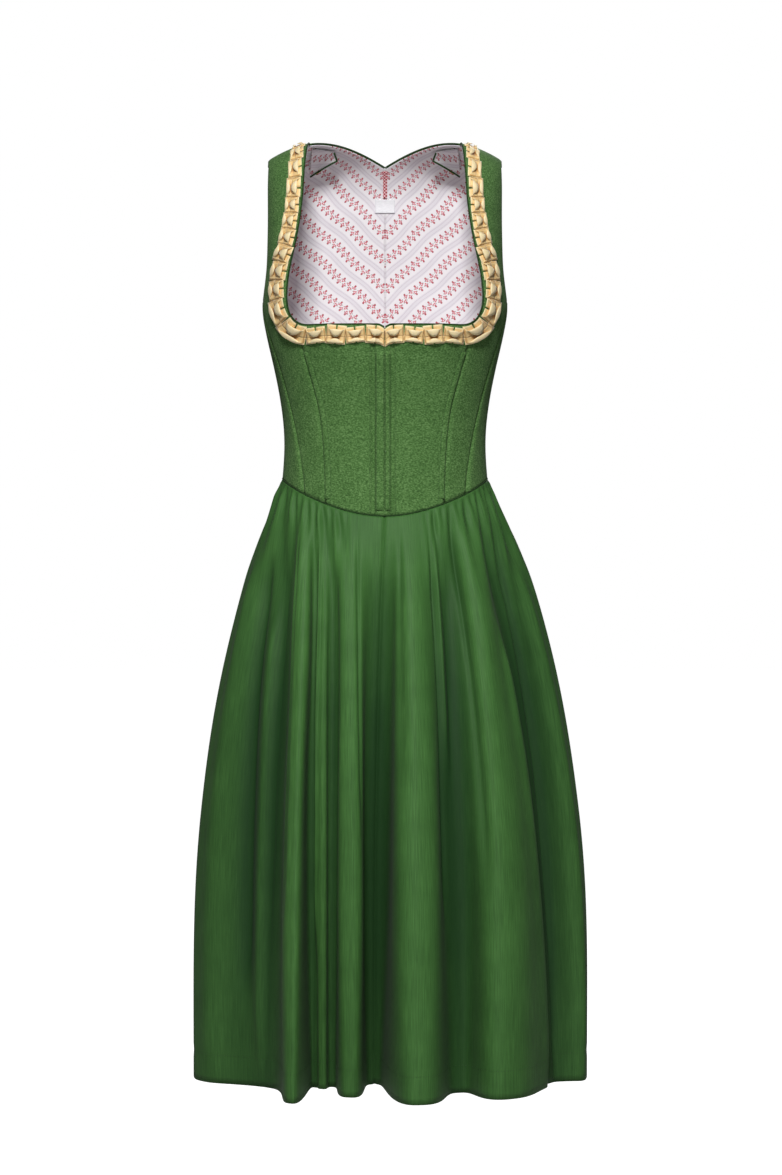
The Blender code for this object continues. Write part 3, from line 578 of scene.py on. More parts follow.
# %% Panels as rules: across and up give an angle and a level
LOWER_ROWS, UPPER_ROWS, SHOULDER_ROWS = 7, 4, 8
PANEL_ROWS = LOWER_ROWS + UPPER_ROWS + SHOULDER_ROWS
FEET = {name: float(seam_foot(name)) for name in ("princess", "side_front", "side_back")}
BACK_CORNER = 4 / 7                         # the share of the back's top edge that is neckline


def closer_at_top(share):
    return 1 - (1 - share) ** 1.5


def row_level(foot, row):
    over = np.clip((row - LOWER_ROWS - UPPER_ROWS) / SHOULDER_ROWS, 0, 1)
    return np.where(row <= LOWER_ROWS, mix(foot, PRINCESS_TOP, row / LOWER_ROWS),
                    np.where(row <= LOWER_ROWS + UPPER_ROWS,
                             mix(PRINCESS_TOP, UNDERARM, (row - LOWER_ROWS) / UPPER_ROWS),
                             mix(UNDERARM, 0.0, closer_at_top(over))))


def front_center(across, up):
    x, top = neck(PRINCESS_LENGTH * across, EDGE_INSET)
    level = mix(foot_level(FEET["princess"] * across), top, up)
    top_share = angle_at_x(x, top) / seam("princess", top)
    return seam("princess", level) * mix(across, top_share, up), level


def front_side(across, up):
    corner_end = LENGTHS[FLAT_STEPS + CORNER_STEPS]
    stations = [mix(PRINCESS_LENGTH, corner_end, i / UPPER_ROWS) for i in range(UPPER_ROWS)]
    stations += [mix(corner_end, NECK_LENGTH, closer_at_top(i / SHOULDER_ROWS))
                 for i in range(SHOULDER_ROWS + 1)]
    row = up * PANEL_ROWS
    lower = row <= LOWER_ROWS
    outer_level = row_level(foot_level(FEET["side_front"]), row)
    foot = foot_level(mix(FEET["princess"], FEET["side_front"], across))
    x, edge_level = neck(np.interp(row - LOWER_ROWS, np.arange(len(stations)), stations), EDGE_INSET)
    inner_low = seam("princess", row_level(foot_level(FEET["princess"]), row))
    inner = np.where(lower, inner_low, angle_at_x(x, edge_level))
    level = np.where(lower, mix(foot, PRINCESS_TOP, row / LOWER_ROWS), mix(edge_level, outer_level, across))
    outer = np.where(outer_level < UNDERARM, seam("side_front", outer_level),
                     ARMHOLE_DEG - armhole_half(outer_level))
    return mix(inner, outer, across), level


def side(across, up):
    row = up * (LOWER_ROWS + UPPER_ROWS)
    foot = foot_level(mix(FEET["side_front"], FEET["side_back"], across))
    level = row_level(foot, row)
    deg = mix(seam("side_front", level), seam("side_back", level), across)
    top = armhole_bottom(mix(seam("side_front", UNDERARM), seam("side_back", UNDERARM), across))
    return deg, np.where(row > LOWER_ROWS, mix(PRINCESS_TOP, top, (row - LOWER_ROWS) / UPPER_ROWS), level)


def back_outer(level):
    return np.where(level < UNDERARM, seam("side_back", level), ARMHOLE_DEG + armhole_half(level))


def back(across, up):
    reach, share = NECK_BACK_HALF + EDGE_INSET, np.minimum(across / BACK_CORNER, 1)
    outer_top = back_outer(0.0)
    neck_level = mix(NECK_BACK_LEVEL, 0.0, share) - EDGE_INSET * (1 - share)
    top_level = np.where(across < BACK_CORNER, neck_level, 0.0)
    corner = angle_at_x(reach * share, top_level, back=True)
    beyond = np.clip((across - BACK_CORNER) / (1 - BACK_CORNER), 0, 1)
    top_deg = mix(corner, outer_top, beyond)
    reference = foot_level(FEET["side_back"])
    climb = 1 - row_level(reference, up * PANEL_ROWS) / reference
    level = mix(foot_level(mix(180.0, FEET["side_back"], across)), top_level, climb)
    outer = back_outer(level)
    top_share = (180.0 - top_deg) / (180.0 - outer_top)
    return mix(180.0, outer, mix(across, top_share, climb ** 3)), level


print("the panels have", PANEL_ROWS, "main rows")

# %% Cutting and sewing the panels
SEAM_DIP, SEAM_DIP_WIDTH = 2.3, 2.4
GROOVE_DIP, GROOVE_WIDTH, GROOVE_OFF = 2.6, 2.2, 2.6    # the pressed groove beside the closure
CLOSURE = {"left": 6.5, "right": 11.0}      # widths, from the centre front
Panel = namedtuple("Panel", "rule columns rows left_seam right_seam wall")
PANELS = {
    "front_center": Panel(front_center, 64, 84, False, True, 1.8),
    "front_side": Panel(front_side, 40, PANEL_ROWS * 6, True, True, 1.8),
    "side": Panel(side, 40, (LOWER_ROWS + UPPER_ROWS) * 8, True, True, 1.8),
    "back": Panel(back, 49, PANEL_ROWS * 5, True, True, 1.3),
}


def ripples(points, height):
    """Faint unevenness, some centimetres wide, the same for neighbouring panels."""
    x, y, z = points[..., 0], points[..., 1], points[..., 2]
    waves = np.sin(x / 17 + z / 41 + 1.3) + np.sin(y / 13 - z / 23 + 0.4) + np.sin(z / 11 + x / 37 + 2.2)
    return waves * height / 3


def laid(panel, lift=0.0, height=0.35, groove=None):
    across, up = net(panel.columns, panel.rows)
    deg, level = panel.rule(across, up)
    flat_points = on_form(deg, level, 0.0)
    run = run_length(flat_points, 1)
    dip = ripples(flat_points, height)
    if panel.left_seam:
        dip = dip - SEAM_DIP * np.exp(-(run / SEAM_DIP_WIDTH) ** 2)
    if panel.right_seam:
        dip = dip - SEAM_DIP * np.exp(-((run[:, -1:] - run) / SEAM_DIP_WIDTH) ** 2)
    if groove:
        dip = dip - GROOVE_DIP * np.exp(-((flat_points[..., 0] - groove) / GROOVE_WIDTH) ** 2)
    points = on_form(deg, level, lift + np.where(level < -30, dip, dip * 0.3))
    cloth_map = np.stack([run_length(points, 1), run_length(points, 0) + points[:1, :, 2]], axis=-1)
    return points, cloth_map


MIRROR = np.array([-1.0, 1.0, 1.0])
for name, panel in PANELS.items():
    for label, flip in (("left", np.ones(3)), ("right", MIRROR)):
        groove = CLOSURE[label] + GROOVE_OFF if name == "front_center" else None
        points, cloth_map = laid(panel, groove=groove)
        outward = (flip[0] < 0) ^ (name == "back")
        mesh = make_mesh(f"{name}_{label}_cloth", points * flip, cloth_map, turned=outward)
        fabrics = [bodice_cloth] if name == "back" else [bodice_cloth, lining_print]
        finish_piece(f"{name}_{label}_cloth", mesh, fabrics, [f"{name}_{label}"],
                     panel.wall, len(fabrics) - 1)
        flat_size(points)


# %% [markdown]
# The back's lining is a cloth of its own, because its print shows through the wide neckline. It is the
# same net, moved in by the back's wall. Seen from the hollow, its face is the other way round.

# %% Back lining
LINING_LIFT, LINING_WALL, CHEVRON_POINT = -2.7, 0.9, -100.0      # one chevron's point is at this height
back_net = PANELS["back"]
points, cloth_map = laid(back_net._replace(left_seam=False, right_seam=False), LINING_LIFT, 0.9)
chevron = GARLAND_PITCH / MM / math.cos(GARLAND_SLOPE)
at_chevron = np.interp(CHEVRON_POINT, points[:, 0, 2], cloth_map[:, 0, 1])
cloth_map[..., 1] -= at_chevron + 2.5 * chevron
for label, flip in (("left", np.ones(3)), ("right", MIRROR)):
    name = f"back_lining_{label}_print"
    mesh = make_mesh(name, points * flip, cloth_map, turned=flip[0] > 0)
    finish_piece(name, mesh, [lining_print], [f"back_lining_{label}"], LINING_WALL)
    flat_size(points)

# %% [markdown]
# ## What lies on the bodice
# The front closes edge to edge with hidden hooks, so two folded edges run down the centre front, each
# stitched down. Beside each princess seam lies a channel with a bone in it. Both are narrow strips with a
# rounded profile, laid just above the panels.

# %% Closure and boning channels
CLOSURE_TOP, CLOSURE_FOOT = -256.5, 5.0
CHANNEL_WIDTH, CHANNEL_INSET, CHANNEL_TOP, CHANNEL_FOOT = 7.0, 1.0, -256.0, -428.0


def strip(name, rule, height, nodes, flip):
    """A narrow strip with a rounded profile, that rises by a height from the panel."""
    across, up = net(14, 60)
    deg, level = rule(across, up)
    crown = (1 - np.abs(2 * across - 1) ** 4) ** 0.5
    ends = np.minimum(1, np.minimum(up, 1 - up) * 60) ** 0.5
    base = on_form(deg, level, 0.0)
    points = on_form(deg, level, ripples(base, 0.35) - 0.4 + height * crown * ends)
    cloth_map = np.stack([run_length(points, 1), run_length(points, 0)], axis=-1)
    mesh = make_mesh(name, points * flip, cloth_map, turned=flip[0] < 0)
    finish_piece(name, mesh, [bodice_cloth], nodes, 0.5)
    flat_size(points)


for label, flip in (("left", np.ones(3)), ("right", MIRROR)):
    def closure(across, up):
        level = mix(waist_z(0.0) + CLOSURE_FOOT, CLOSURE_TOP, up)
        return degrees_for(mix(0.4, CLOSURE[label], across), 2.0, level), level

    def channel(across, up):
        level = mix(CHANNEL_FOOT, CHANNEL_TOP, up)
        princess = seam("princess", level)
        return princess - degrees_for(CHANNEL_INSET + CHANNEL_WIDTH * (1 - across), princess, level), level

    strip(f"closure_{label}_edge", closure, 2.3, [f"closure_{label}"], flip)
    strip(f"boning_channel_{label}_strip", channel, 1.5, [f"boning_channel_{label}"], flip)

# %% [markdown]
# ## Piping
# A thin cord in a bias strip, 2 mm thick in all, edges the neckline and hides the waist seam. A curve with
# a round bevel is the whole of it: it follows the neckline's path, and stands a little out of the cloth.

# %% Piping
PIPING_RADIUS = 1.0


def piping(name, points, nodes, closed=False):
    curve = bpy.data.curves.new(name, "CURVE")
    curve.dimensions = "3D"
    curve.bevel_depth, curve.bevel_resolution, curve.use_fill_caps = PIPING_RADIUS * MM, 3, not closed
    spline = curve.splines.new("POLY")
    spline.points.add(len(points) - 1)
    spline.points.foreach_set("co", np.c_[points * MM, np.ones(len(points))].ravel())
    spline.use_cyclic_u = closed
    finish_piece(name, curve, [piping_cloth], nodes)


length = np.linspace(0.8, NECK_LENGTH - 0.8, 150)
x, level = neck(length, 0.9)
edge = on_form(angle_at_x(x, level), level, -0.5)
piping("neck_piping_left_cord", edge, ["neck_piping_left"])
piping("neck_piping_right_cord", edge * MIRROR, ["neck_piping_right"])
x = np.linspace(-1, 1, 81) * (NECK_BACK_HALF - 1)
level = mix(NECK_BACK_LEVEL, 0.0, np.abs(x) / NECK_BACK_HALF) - 0.6
edge = on_form(angle_at_x(np.abs(x), level, back=True), level, -1.2)
edge[:, 0] = np.abs(edge[:, 0]) * np.sign(x)
piping("neck_piping_back_cord", edge, ["neck_piping_back"])
deg = np.arange(0, 360, 2.0)
piping("waist_piping_cord", on_form(deg, waist_z(deg), -0.6), ["waist_piping"], closed=True)
print("neck piping is", round(2 * NECK_LENGTH), "mm long")

# %% [markdown]
# ## The pinched ribbon trim
# This trim is a ribbon in box pleats. The middle of each pleat's two edges is drawn to one point and
# tacked, so the pleat opens into two lips, like a frog's mouth. Modelling each pleat by hand would hide the
# rule: the ribbon leaves the tack, loops outward and comes back to it in the middle of a pleat, and lies
# flat between pleats. One pleat is made by that rule, a Geometry Nodes tree repeats it in a row with small
# differences, and the row is then laid along the neckline.

# %% One pleat
PLEAT_PITCH, LIP_REACH, CHIN_REACH, TRIM_START = 21.0, 12.0, 7.6, 2.6
Loop = namedtuple("Loop", "reach flat pulled")  # control places of the ribbon's path: distance out, height
LIPS = {
    "lip": Loop(LIP_REACH, ((0, 1.3), (0.33, 1.6), (0.67, 1.6), (1.0, 1.1)),
                ((0, 0.5), (0.85, -0.4), (1.0, 8.6), (0.06, 4.4))),
    "chin": Loop(CHIN_REACH, ((0, 1.3), (0.33, 1.5), (0.67, 1.5), (1.0, 1.1)),
                 ((0, 0.5), (0.95, -0.4), (1.1, 7.0), (0.14, 3.6))),
}


def lip(loop, side_sign):
    u, v = np.meshgrid(np.linspace(-1, 1, 23), np.linspace(0, 1, 13))
    pull = (1 - np.abs(u) ** 2.6) ** 1.15
    weights = ((1 - v) ** 3, 3 * v * (1 - v) ** 2, 3 * v * v * (1 - v), v ** 3)
    out, height = np.zeros_like(u), np.zeros_like(u)
    for weight, flat, pulled in zip(weights, loop.flat, loop.pulled):
        out += weight * mix(flat[0], pulled[0], pull) * loop.reach
        height += weight * mix(flat[1], pulled[1], pull)
    height -= 1.2 * smooth(0.80, 1.0, np.abs(u))
    half = PLEAT_PITCH * 0.475 * (1 - 0.16 * pull * v)
    # Painted light and shade: lit high parts, shaded pinch and sides, and a painted highlight on the rim.
    light = 0.34 + 0.66 * smooth(0.3, 4.2, height)
    light = light - 0.8 * np.exp(-(np.abs(u) / 0.4) ** 2 - (v / 0.2) ** 2)
    light = np.where(v > 0.9, 1.1, light - 0.6 * smooth(0.84, 1.0, np.abs(u)))
    return np.stack([u * half, out * side_sign, height, light], axis=-1)


def under_layer(side_sign, half_sign):
    """Half of the flat layer under a pleat, beside the slit where its two folds meet."""
    u, v = np.meshgrid(np.linspace(0, 1, 5), np.linspace(0, 1, 7))
    reach = LIP_REACH if side_sign > 0 else CHIN_REACH
    x = mix(0.045 * v, 0.5, u) * PLEAT_PITCH * half_sign
    # Painted shade and light: darker beside the slit, lighter towards the outer edge.
    light = 0.42 + 0.25 * v + 0.4 * smooth(0.85, 1.0, v) - 0.3 * (1 - u) ** 6
    return np.stack([x, v * reach * side_sign, 0.3 + 0.5 * v ** 6, light], axis=-1)


def unit_mesh(name):
    parts = [(lip(LIPS["lip"], 1), False), (lip(LIPS["chin"], -1), True)]
    parts += [(under_layer(a, b), a * b < 0) for a in (1, -1) for b in (1, -1)]
    places, faces = [], []
    for points, turned in parts:
        rows, columns = points.shape[:2]
        index = np.arange(rows * columns).reshape(rows, columns) + sum(len(p) for p in places)
        quads = np.stack([index[:-1, :-1], index[:-1, 1:], index[1:, 1:], index[1:, :-1]], -1).reshape(-1, 4)
        faces += (quads[:, ::-1] if turned else quads).tolist()
        places.append(points.reshape(-1, 4))
    places = np.concatenate(places)
    mesh = bpy.data.meshes.new(name)
    mesh.from_pydata((places[:, :3] * MM).tolist(), [], faces)
    layer = mesh.uv_layers.new(name="Cloth")
    layer.data.foreach_set("uv", (places[np.array(faces).reshape(-1), :2] * MM).ravel())
    # The fourth column, painted light and shade, goes to the mesh as an attribute.
    mesh.attributes.new("PaintedLight", "FLOAT", "POINT").data.foreach_set("value", np.clip(places[:, 3], 0, 1))
    mesh.shade_smooth()
    return mesh


pleat = unit_mesh("one_pleat")
print("one pleat has", len(pleat.polygons), "faces")

# %% The row of pleats
def growing_tree(name, **kinds):
    """A tree that takes a mesh, named inputs and a material, and what they give."""
    tree = bpy.data.node_groups.new(name, "GeometryNodeTree")
    for socket, kind in {"Geometry": "Geometry", **kinds, "Material": "Material"}.items():
        tree.interface.new_socket(name=socket.replace("_", " "), in_out="INPUT",
                                  socket_type="NodeSocket" + kind)
    tree.interface.new_socket(name="Geometry", in_out="OUTPUT", socket_type="NodeSocketGeometry")
    return tree, tree.nodes.new("NodeGroupInput").outputs


def end_tree(tree, instances, material):
    """Makes the instances real, gives them their material, and hands them out."""
    real = add(tree, "GeometryNodeRealizeInstances", {"Geometry": instances})
    dressed = add(tree, "GeometryNodeSetMaterial", {"Geometry": real.outputs[0], "Material": material})
    tree.links.new(dressed.outputs[0], tree.nodes.new("NodeGroupOutput").inputs[0])
    print(tree.name, "has", len(tree.nodes), "nodes")


row_tree, given = growing_tree("Row of pleats", Count="Int", Pitch="Float", Uneven_size="Float",
                               Uneven_turn="Float", Seed="Int")
step = add(row_tree, "ShaderNodeCombineXYZ", {"X": given["Pitch"]})
spots = add(row_tree, "GeometryNodeMeshLine", {"Count": given["Count"], "Offset": step.outputs[0]})
low_size = add(row_tree, "ShaderNodeMath", {0: 1.0, 1: given["Uneven size"]}, operation="SUBTRACT")
high_size = add(row_tree, "ShaderNodeMath", {0: 1.0, 1: given["Uneven size"]}, operation="ADD")
size = add(row_tree, "FunctionNodeRandomValue", {2: low_size.outputs[0], 3: high_size.outputs[0],
                                                 "Seed": given["Seed"]}, data_type="FLOAT")
low_turn = add(row_tree, "ShaderNodeMath", {0: 0.0, 1: given["Uneven turn"]}, operation="SUBTRACT")
turn = add(row_tree, "FunctionNodeRandomValue", {2: low_turn.outputs[0], 3: given["Uneven turn"],
                                                 "Seed": given["Seed"]}, data_type="FLOAT")
turned = add(row_tree, "ShaderNodeCombineXYZ", {"Z": turn.outputs[1]})
grown = add(row_tree, "ShaderNodeCombineXYZ", {"X": 1.0, "Y": size.outputs[1], "Z": size.outputs[1]})
placed = add(row_tree, "GeometryNodeInstanceOnPoints",
             {"Points": spots.outputs[0], "Instance": given["Geometry"], "Rotation": turned.outputs[0],
              "Scale": grown.outputs[0]})
end_tree(row_tree, placed.outputs[0], given["Material"])


def grown_mesh(start, tree, name, **inputs):
    """Runs a tree on a mesh and gives the result as a plain mesh."""
    holder = bpy.data.objects.new(name + "_start", start)
    bpy.context.scene.collection.objects.link(holder)
    modifier = holder.modifiers.new("Grow", "NODES")
    modifier.node_group = tree
    for socket in tree.interface.items_tree:
        key = socket.name.replace(" ", "_").lower()
        if socket.in_out == "INPUT" and key in inputs:
            modifier[socket.identifier] = inputs[key]
    done = holder.evaluated_get(bpy.context.evaluated_depsgraph_get())
    mesh = bpy.data.meshes.new_from_object(done)
    mesh.name = name
    bpy.data.objects.remove(holder)
    return mesh


# %% Laying the row along the neckline
# The pleats are a little closer over the straps than along the level bottom.
PLEATS = round(NECK_LENGTH / PLEAT_PITCH)
CLOSER, SHORT_OF_SHOULDER = 0.042, 5.0
row = grown_mesh(pleat, row_tree, "row_of_pleats", count=PLEATS, pitch=PLEAT_PITCH * MM, uneven_size=0.12,
                 uneven_turn=0.16, seed=4, material=ribbon)
flat_row = np.zeros(len(row.vertices) * 3)
row.vertices.foreach_get("co", flat_row)
flat_row = flat_row.reshape(-1, 3) / MM
share = np.clip((flat_row[:, 0] / PLEAT_PITCH + 0.5) / PLEATS, 0, 1)
length = (NECK_LENGTH - SHORT_OF_SHOULDER) * (share + CLOSER * np.sin(math.pi * share))
narrower = mix(1.0, 0.88, smooth(0.4, 0.6, share))
out = TRIM_START + (LIP_REACH - flat_row[:, 1]) * narrower
x, level = neck(np.clip(length, 0.4, NECK_LENGTH - 0.6), out)
laid_row = on_form(angle_at_x(x, level), level, 0.2 + flat_row[:, 2] * (1 - 0.6 * smooth(0.94, 1.0, share)))
for label, flip in (("left", np.ones(3)), ("right", MIRROR)):
    mesh = row.copy()
    mesh.name = f"trim_{label}_ribbon"
    mesh.vertices.foreach_set("co", (laid_row * flip * MM).ravel())
    if flip[0] > 0:
        mesh.flip_normals()
    mesh.materials.clear()
    finish_piece(mesh.name, mesh, [ribbon], [f"trim_{label}"], 0.35)
print(PLEATS, "pleats on each side")


# %% [markdown]
# ## Inside the back
# The front straps end inside the back's shoulders, lining side out, with a piped free edge and the end of
# the trim below it. At the centre back hang a short red loop tape and a plain label.

# %% Strap ends, trim ends, tape and label
STRAP_END_TOP, STRAP_END_FOOT = (62.0, 88.0), (59.0, 94.0)
STRAP_END_LEVELS, STRAP_END_STAND = ((-17.6, -6.5), (-23.5, -38.0)), 5.0
TRIM_END_ACROSS, TRIM_END_UP = (0.35, 0.75), (-0.14, 0.3)
FACE = -3.6                                 # the lining's face that shows, as a lift


def strap_end(across, up, lift):
    x = mix(mix(*STRAP_END_FOOT, across), mix(*STRAP_END_TOP, across), up)
    level = mix(mix(*STRAP_END_LEVELS[1], across), mix(*STRAP_END_LEVELS[0], across), up)
    curl = STRAP_END_STAND * (1 - up) ** 1.5
    return on_form(angle_at_x(x, level, back=True), level, lift - curl)


def inside_piece(name, points, materials, nodes, slot, wall, flip, turned):
    cloth_map = np.stack([run_length(points, 1), run_length(points, 0)], axis=-1)
    if slot == "lining":
        cloth_map[..., 1] -= 22.0
    mesh = make_mesh(name, points * flip, cloth_map, turned=turned)
    finish_piece(name, mesh, materials, nodes, wall, len(materials) - 1)
    flat_size(points)


for label, flip in (("left", np.ones(3)), ("right", MIRROR)):
    across, up = net(24, 16)
    points = strap_end(across, up, FACE - 3.0)
    inside_piece(f"strap_end_{label}_flap", points, [lining_print, bodice_cloth], [f"strap_end_{label}"],
                 "lining", 1.6, flip, flip[0] < 0)
    edge = strap_end(np.linspace(0, 1, 40), np.zeros(40), FACE - 3.6)
    inner_edge = strap_end(np.zeros(16), np.linspace(1, 0, 16), FACE - 3.6)
    piping(f"strap_end_{label}_piping", np.concatenate([inner_edge[:-1], edge]) * flip, [])
    across, up = mix(*TRIM_END_ACROSS, across), mix(*TRIM_END_UP, up)
    inside_piece(f"trim_end_{label}_ribbon", strap_end(across, up, FACE - 0.6), [ribbon],
                 [f"trim_end_{label}"], "trim_ribbon", 0.8, flip, flip[0] < 0)


def level_at_z(z):
    bend = np.arcsin(np.clip((z - SHOULDER_Z) / (SHOULDER_TOP - SHOULDER_Z), 0, 1))
    return np.where(z <= SHOULDER_Z, z, SHOULDER_Z - SHOULDER_Z * bend / (math.pi / 2))


for name, node, fabric, slot, width, top, foot in (
        ("back_tape_loop", "back_tape", tape_cloth, "red_tape", 5.0, -23.0, -55.5),
        ("neck_label_satin", "neck_label", label_cloth, "label", 24.0, -57.0, -74.0)):
    across, up = net(16, 20)
    half = degrees_for(width / 2, 180.0, foot)
    points = on_form(mix(180.0 - half, 180.0 + half, across), level_at_z(mix(foot, top, up)),
                     FACE - 0.7 - 0.8 * (1 - up) ** 2)
    inside_piece(name, points, [fabric], [node], slot, 0.5, np.ones(3), True)


# %% [markdown]
# ## The skirt
# The skirt is cut about twice as wide as its hem looks, and gathered into the waist. Each fold has a place
# where it starts on the waist seam and one where it ends at the hem, so a table of folds gives the large
# shape: in plan, an S-curve from each ridge to the next valley. The fine gathers come on top of it.

# %% Folds
HEM_HALF, HEM_FRONT, HEM_BACK, FLARE_POWER, FOLD_POWER = 234.0, 200.0, 195.0, 2.5, 1.3
HEM_SWAY = 6.0                              # how far the hem hangs to the wearer's left of the waist
Fold = namedtuple("Fold", "name waist_deg hem_x inset round")
FOLDS = [
    Fold("right side ridge", -93.0, -234.0, -15.0, 34.0),
    Fold("right side valley", -60.0, -142.0, 91.0, 26.0),
    Fold("pipe ridge", -48.0, -112.0, -11.0, 15.0),
    Fold("pipe valley", -43.0, -89.0, 120.0, 6.0),
    Fold("tucked ridge", -37.0, -79.0, 112.0, 6.0),
    Fold("tucked valley", -31.0, -67.0, 128.0, 6.0),
    Fold("right front ridge", -24.0, -48.0, 54.0, 15.0),
    Fold("centre front valley", 0.0, -18.0, 152.0, 9.0),
    Fold("left front ridge", 14.0, 32.0, -3.0, 32.0),
    Fold("left front valley", 32.0, 81.0, 78.0, 16.0),
    Fold("broad ridge", 46.0, 138.0, 10.0, 40.0),
    Fold("left side valley", 62.0, 190.0, 86.0, 12.0),
    Fold("left side ridge", 93.0, 234.0, -10.0, 24.0),
    Fold("back valley 1", 104.0, 176.0, 78.0, 14.0),
    Fold("back ridge 1", 114.0, 205.0, -4.0, 22.0),
    Fold("back valley 2", 124.0, 140.0, 61.0, 14.0),
    Fold("back ridge 2", 136.0, 128.0, -3.0, 24.0),
    Fold("back valley 3", 148.0, 92.0, 67.0, 12.0),
    Fold("back ridge 3", 159.0, 70.0, -4.0, 22.0),
    Fold("back valley 4", 170.0, 36.0, 73.0, 12.0),
    Fold("centre back ridge", 181.0, -4.0, 6.0, 24.0),
    Fold("back valley 5", 192.0, -38.0, 80.0, 12.0),
    Fold("back ridge 5", 203.0, -72.0, -5.0, 22.0),
    Fold("back valley 6", 214.0, -98.0, 62.0, 12.0),
    Fold("back ridge 6", 226.0, -138.0, -2.0, 22.0),
    Fold("back valley 7", 238.0, -152.0, 56.0, 14.0),
    Fold("back ridge 7", 249.0, -204.0, -2.0, 22.0),
    Fold("back valley 8", 258.0, -184.0, 74.0, 12.0),
]
CENTRE_FRONT_FOLD, LEFT_SIDE_FOLD = 7, 12
COLUMN = {key: np.array([getattr(fold, key) for fold in FOLDS]) for key in Fold._fields[1:]}
print(len(FOLDS) // 2, "folds")


# %% The skirt's large shape
def flare(down):
    return 1 - np.clip(1 - down, 0, 1) ** FLARE_POWER


def fold_growth(down):
    return np.clip(down, 0, None) ** FOLD_POWER


def waist_ring(deg):
    return form(deg, waist_z(deg))


def fold_point(index, down):
    """A ridge's or valley's place in plan, and the way the cloth runs there."""
    row = index % len(FOLDS)
    deg = COLUMN["waist_deg"][row]
    foot = waist_ring(COLUMN["waist_deg"])[row]
    front, widen = np.cos(np.radians(deg)) > 0, flare(down)
    half = mix(table(RINGS, "z", "half", foot[..., 2]), HEM_HALF, widen)
    depth = np.where(front, mix(table(RINGS, "z", "front", foot[..., 2]), HEM_FRONT, widen),
                     mix(table(RINGS, "z", "back", foot[..., 2]), HEM_BACK, widen))
    x = mix(foot[..., 0], COLUMN["hem_x"][row], widen)
    share = np.clip(x / half, -1, 1)
    way = np.where(front, -1.0, 1.0)
    y = (depth * np.sqrt(1 - share * share) - COLUMN["inset"][row] * fold_growth(down)) * way
    ahead = np.stack([-half * np.sqrt(1 - share * share) * way, depth * share], axis=-1)
    return np.stack([x, y], axis=-1), ahead / np.linalg.norm(ahead, axis=-1, keepdims=True)


def skirt_curve(s, down):
    index = np.floor(s).astype(int)
    t = ((1 - np.cos(math.pi * (s - index))) / 2)[..., None]
    start, start_way = fold_point(index, down)
    end, end_way = fold_point(index + 1, down)
    straight, growth = np.linalg.norm(end - start, axis=-1) / 3, fold_growth(down)
    start_reach = mix(straight, COLUMN["round"][index % len(FOLDS)], growth)[..., None]
    end_reach = mix(straight, COLUMN["round"][(index + 1) % len(FOLDS)], growth)[..., None]
    first, second = start + start_way * start_reach, end - end_way * end_reach
    return start * (1 - t) ** 3 + first * 3 * t * (1 - t) ** 2 + second * 3 * t * t * (1 - t) + end * t ** 3


def skirt_degrees(s):
    index = np.floor(s).astype(int)
    turns, row = np.divmod(index, len(FOLDS))
    here, after = COLUMN["waist_deg"][row], COLUMN["waist_deg"][(row + 1) % len(FOLDS)]
    after = after + np.where(row == len(FOLDS) - 1, 360.0, 0.0)
    return mix(here, after, s - index) + 360.0 * turns


def skirt_form(s, down):
    waist = waist_ring(skirt_degrees(s))
    plan = skirt_curve(s, down) - skirt_curve(s, np.zeros_like(down))
    plan[..., 0] += HEM_SWAY * flare(down)
    top = waist[..., 2] - SEAM_FOOT_GAP
    return np.concatenate([waist[..., :2] + plan, mix(top, HEM_Z, down)[..., None]], axis=-1)


print("the hem is", round(2 * HEM_HALF), "mm across")

# %% [markdown]
# Gathers are made by drawing the cloth along a thread. Next to the seam they are a few millimetres apart,
# and further down they run together into wider and softer folds, until only the large ones are left. Three
# layers of seeded unevenness do this, each wider, taller and longer than the one before. The centre front
# is sewn in flat, so the gathers leave it out.

# %% Gathers and creases
Gathers = namedtuple("Gathers", "pitch height full_at gone_at seed")
GATHERS = [Gathers(5.2, 1.4, 7.0, 60.0, 11), Gathers(10.5, 2.8, 26.0, 170.0, 12),
           Gathers(23.0, 4.0, 90.0, 460.0, 13)]
UPPER_FOLD = 11.0                           # how far a fold stands out in the skirt's upper half
# Painted shade: how far the tone is darkened between folds, in creases and towards the sides.
PAINTED_SHADE_FOLD, PAINTED_SHADE_CREASE, PAINTED_SHADE_SIDE = 0.5, 0.05, 0.24  # how far the tone deepens between folds
FLAT_FRONT = (19.0, 31.0)                   # degrees from the centre front where the gathers begin
Crease = namedtuple("Crease", "name waist_deg drift top foot width height")
CREASES = [
    Crease("lobe outer ridge", -79.0, 0.0, 90.0, 760.0, 3.0, 6.0),
    Crease("lobe trough", -72.5, 1.5, 90.0, 640.0, 2.0, -10.0),
    Crease("lobe inner ridge", -66.0, 0.0, 140.0, 720.0, 2.4, 7.0),
    Crease("pipe side line", -52.5, 0.5, 60.0, 520.0, 1.2, -5.0),
    Crease("tucked strip", -40.5, 0.0, 60.0, 560.0, 1.2, 4.5),
    Crease("right front line", -17.0, 2.0, 40.0, 400.0, 1.3, -3.2),
    Crease("front line", 9.0, 3.0, 30.0, 360.0, 1.4, -3.2),
    Crease("left front strip", 29.0, 1.0, 40.0, 340.0, 1.3, 4.2),
    Crease("left front line", 26.0, 1.0, 40.0, 500.0, 1.1, -4.5),
    Crease("broad line", 39.0, 3.0, 30.0, 480.0, 1.4, -6.0),
    Crease("broad edge", 54.0, 2.0, 160.0, 760.0, 1.8, 7.0),
    Crease("side line", 69.0, -2.0, 60.0, 720.0, 2.4, -8.5),
    Crease("side ridge", 78.0, 4.0, 90.0, 760.0, 3.0, 6.5),
]


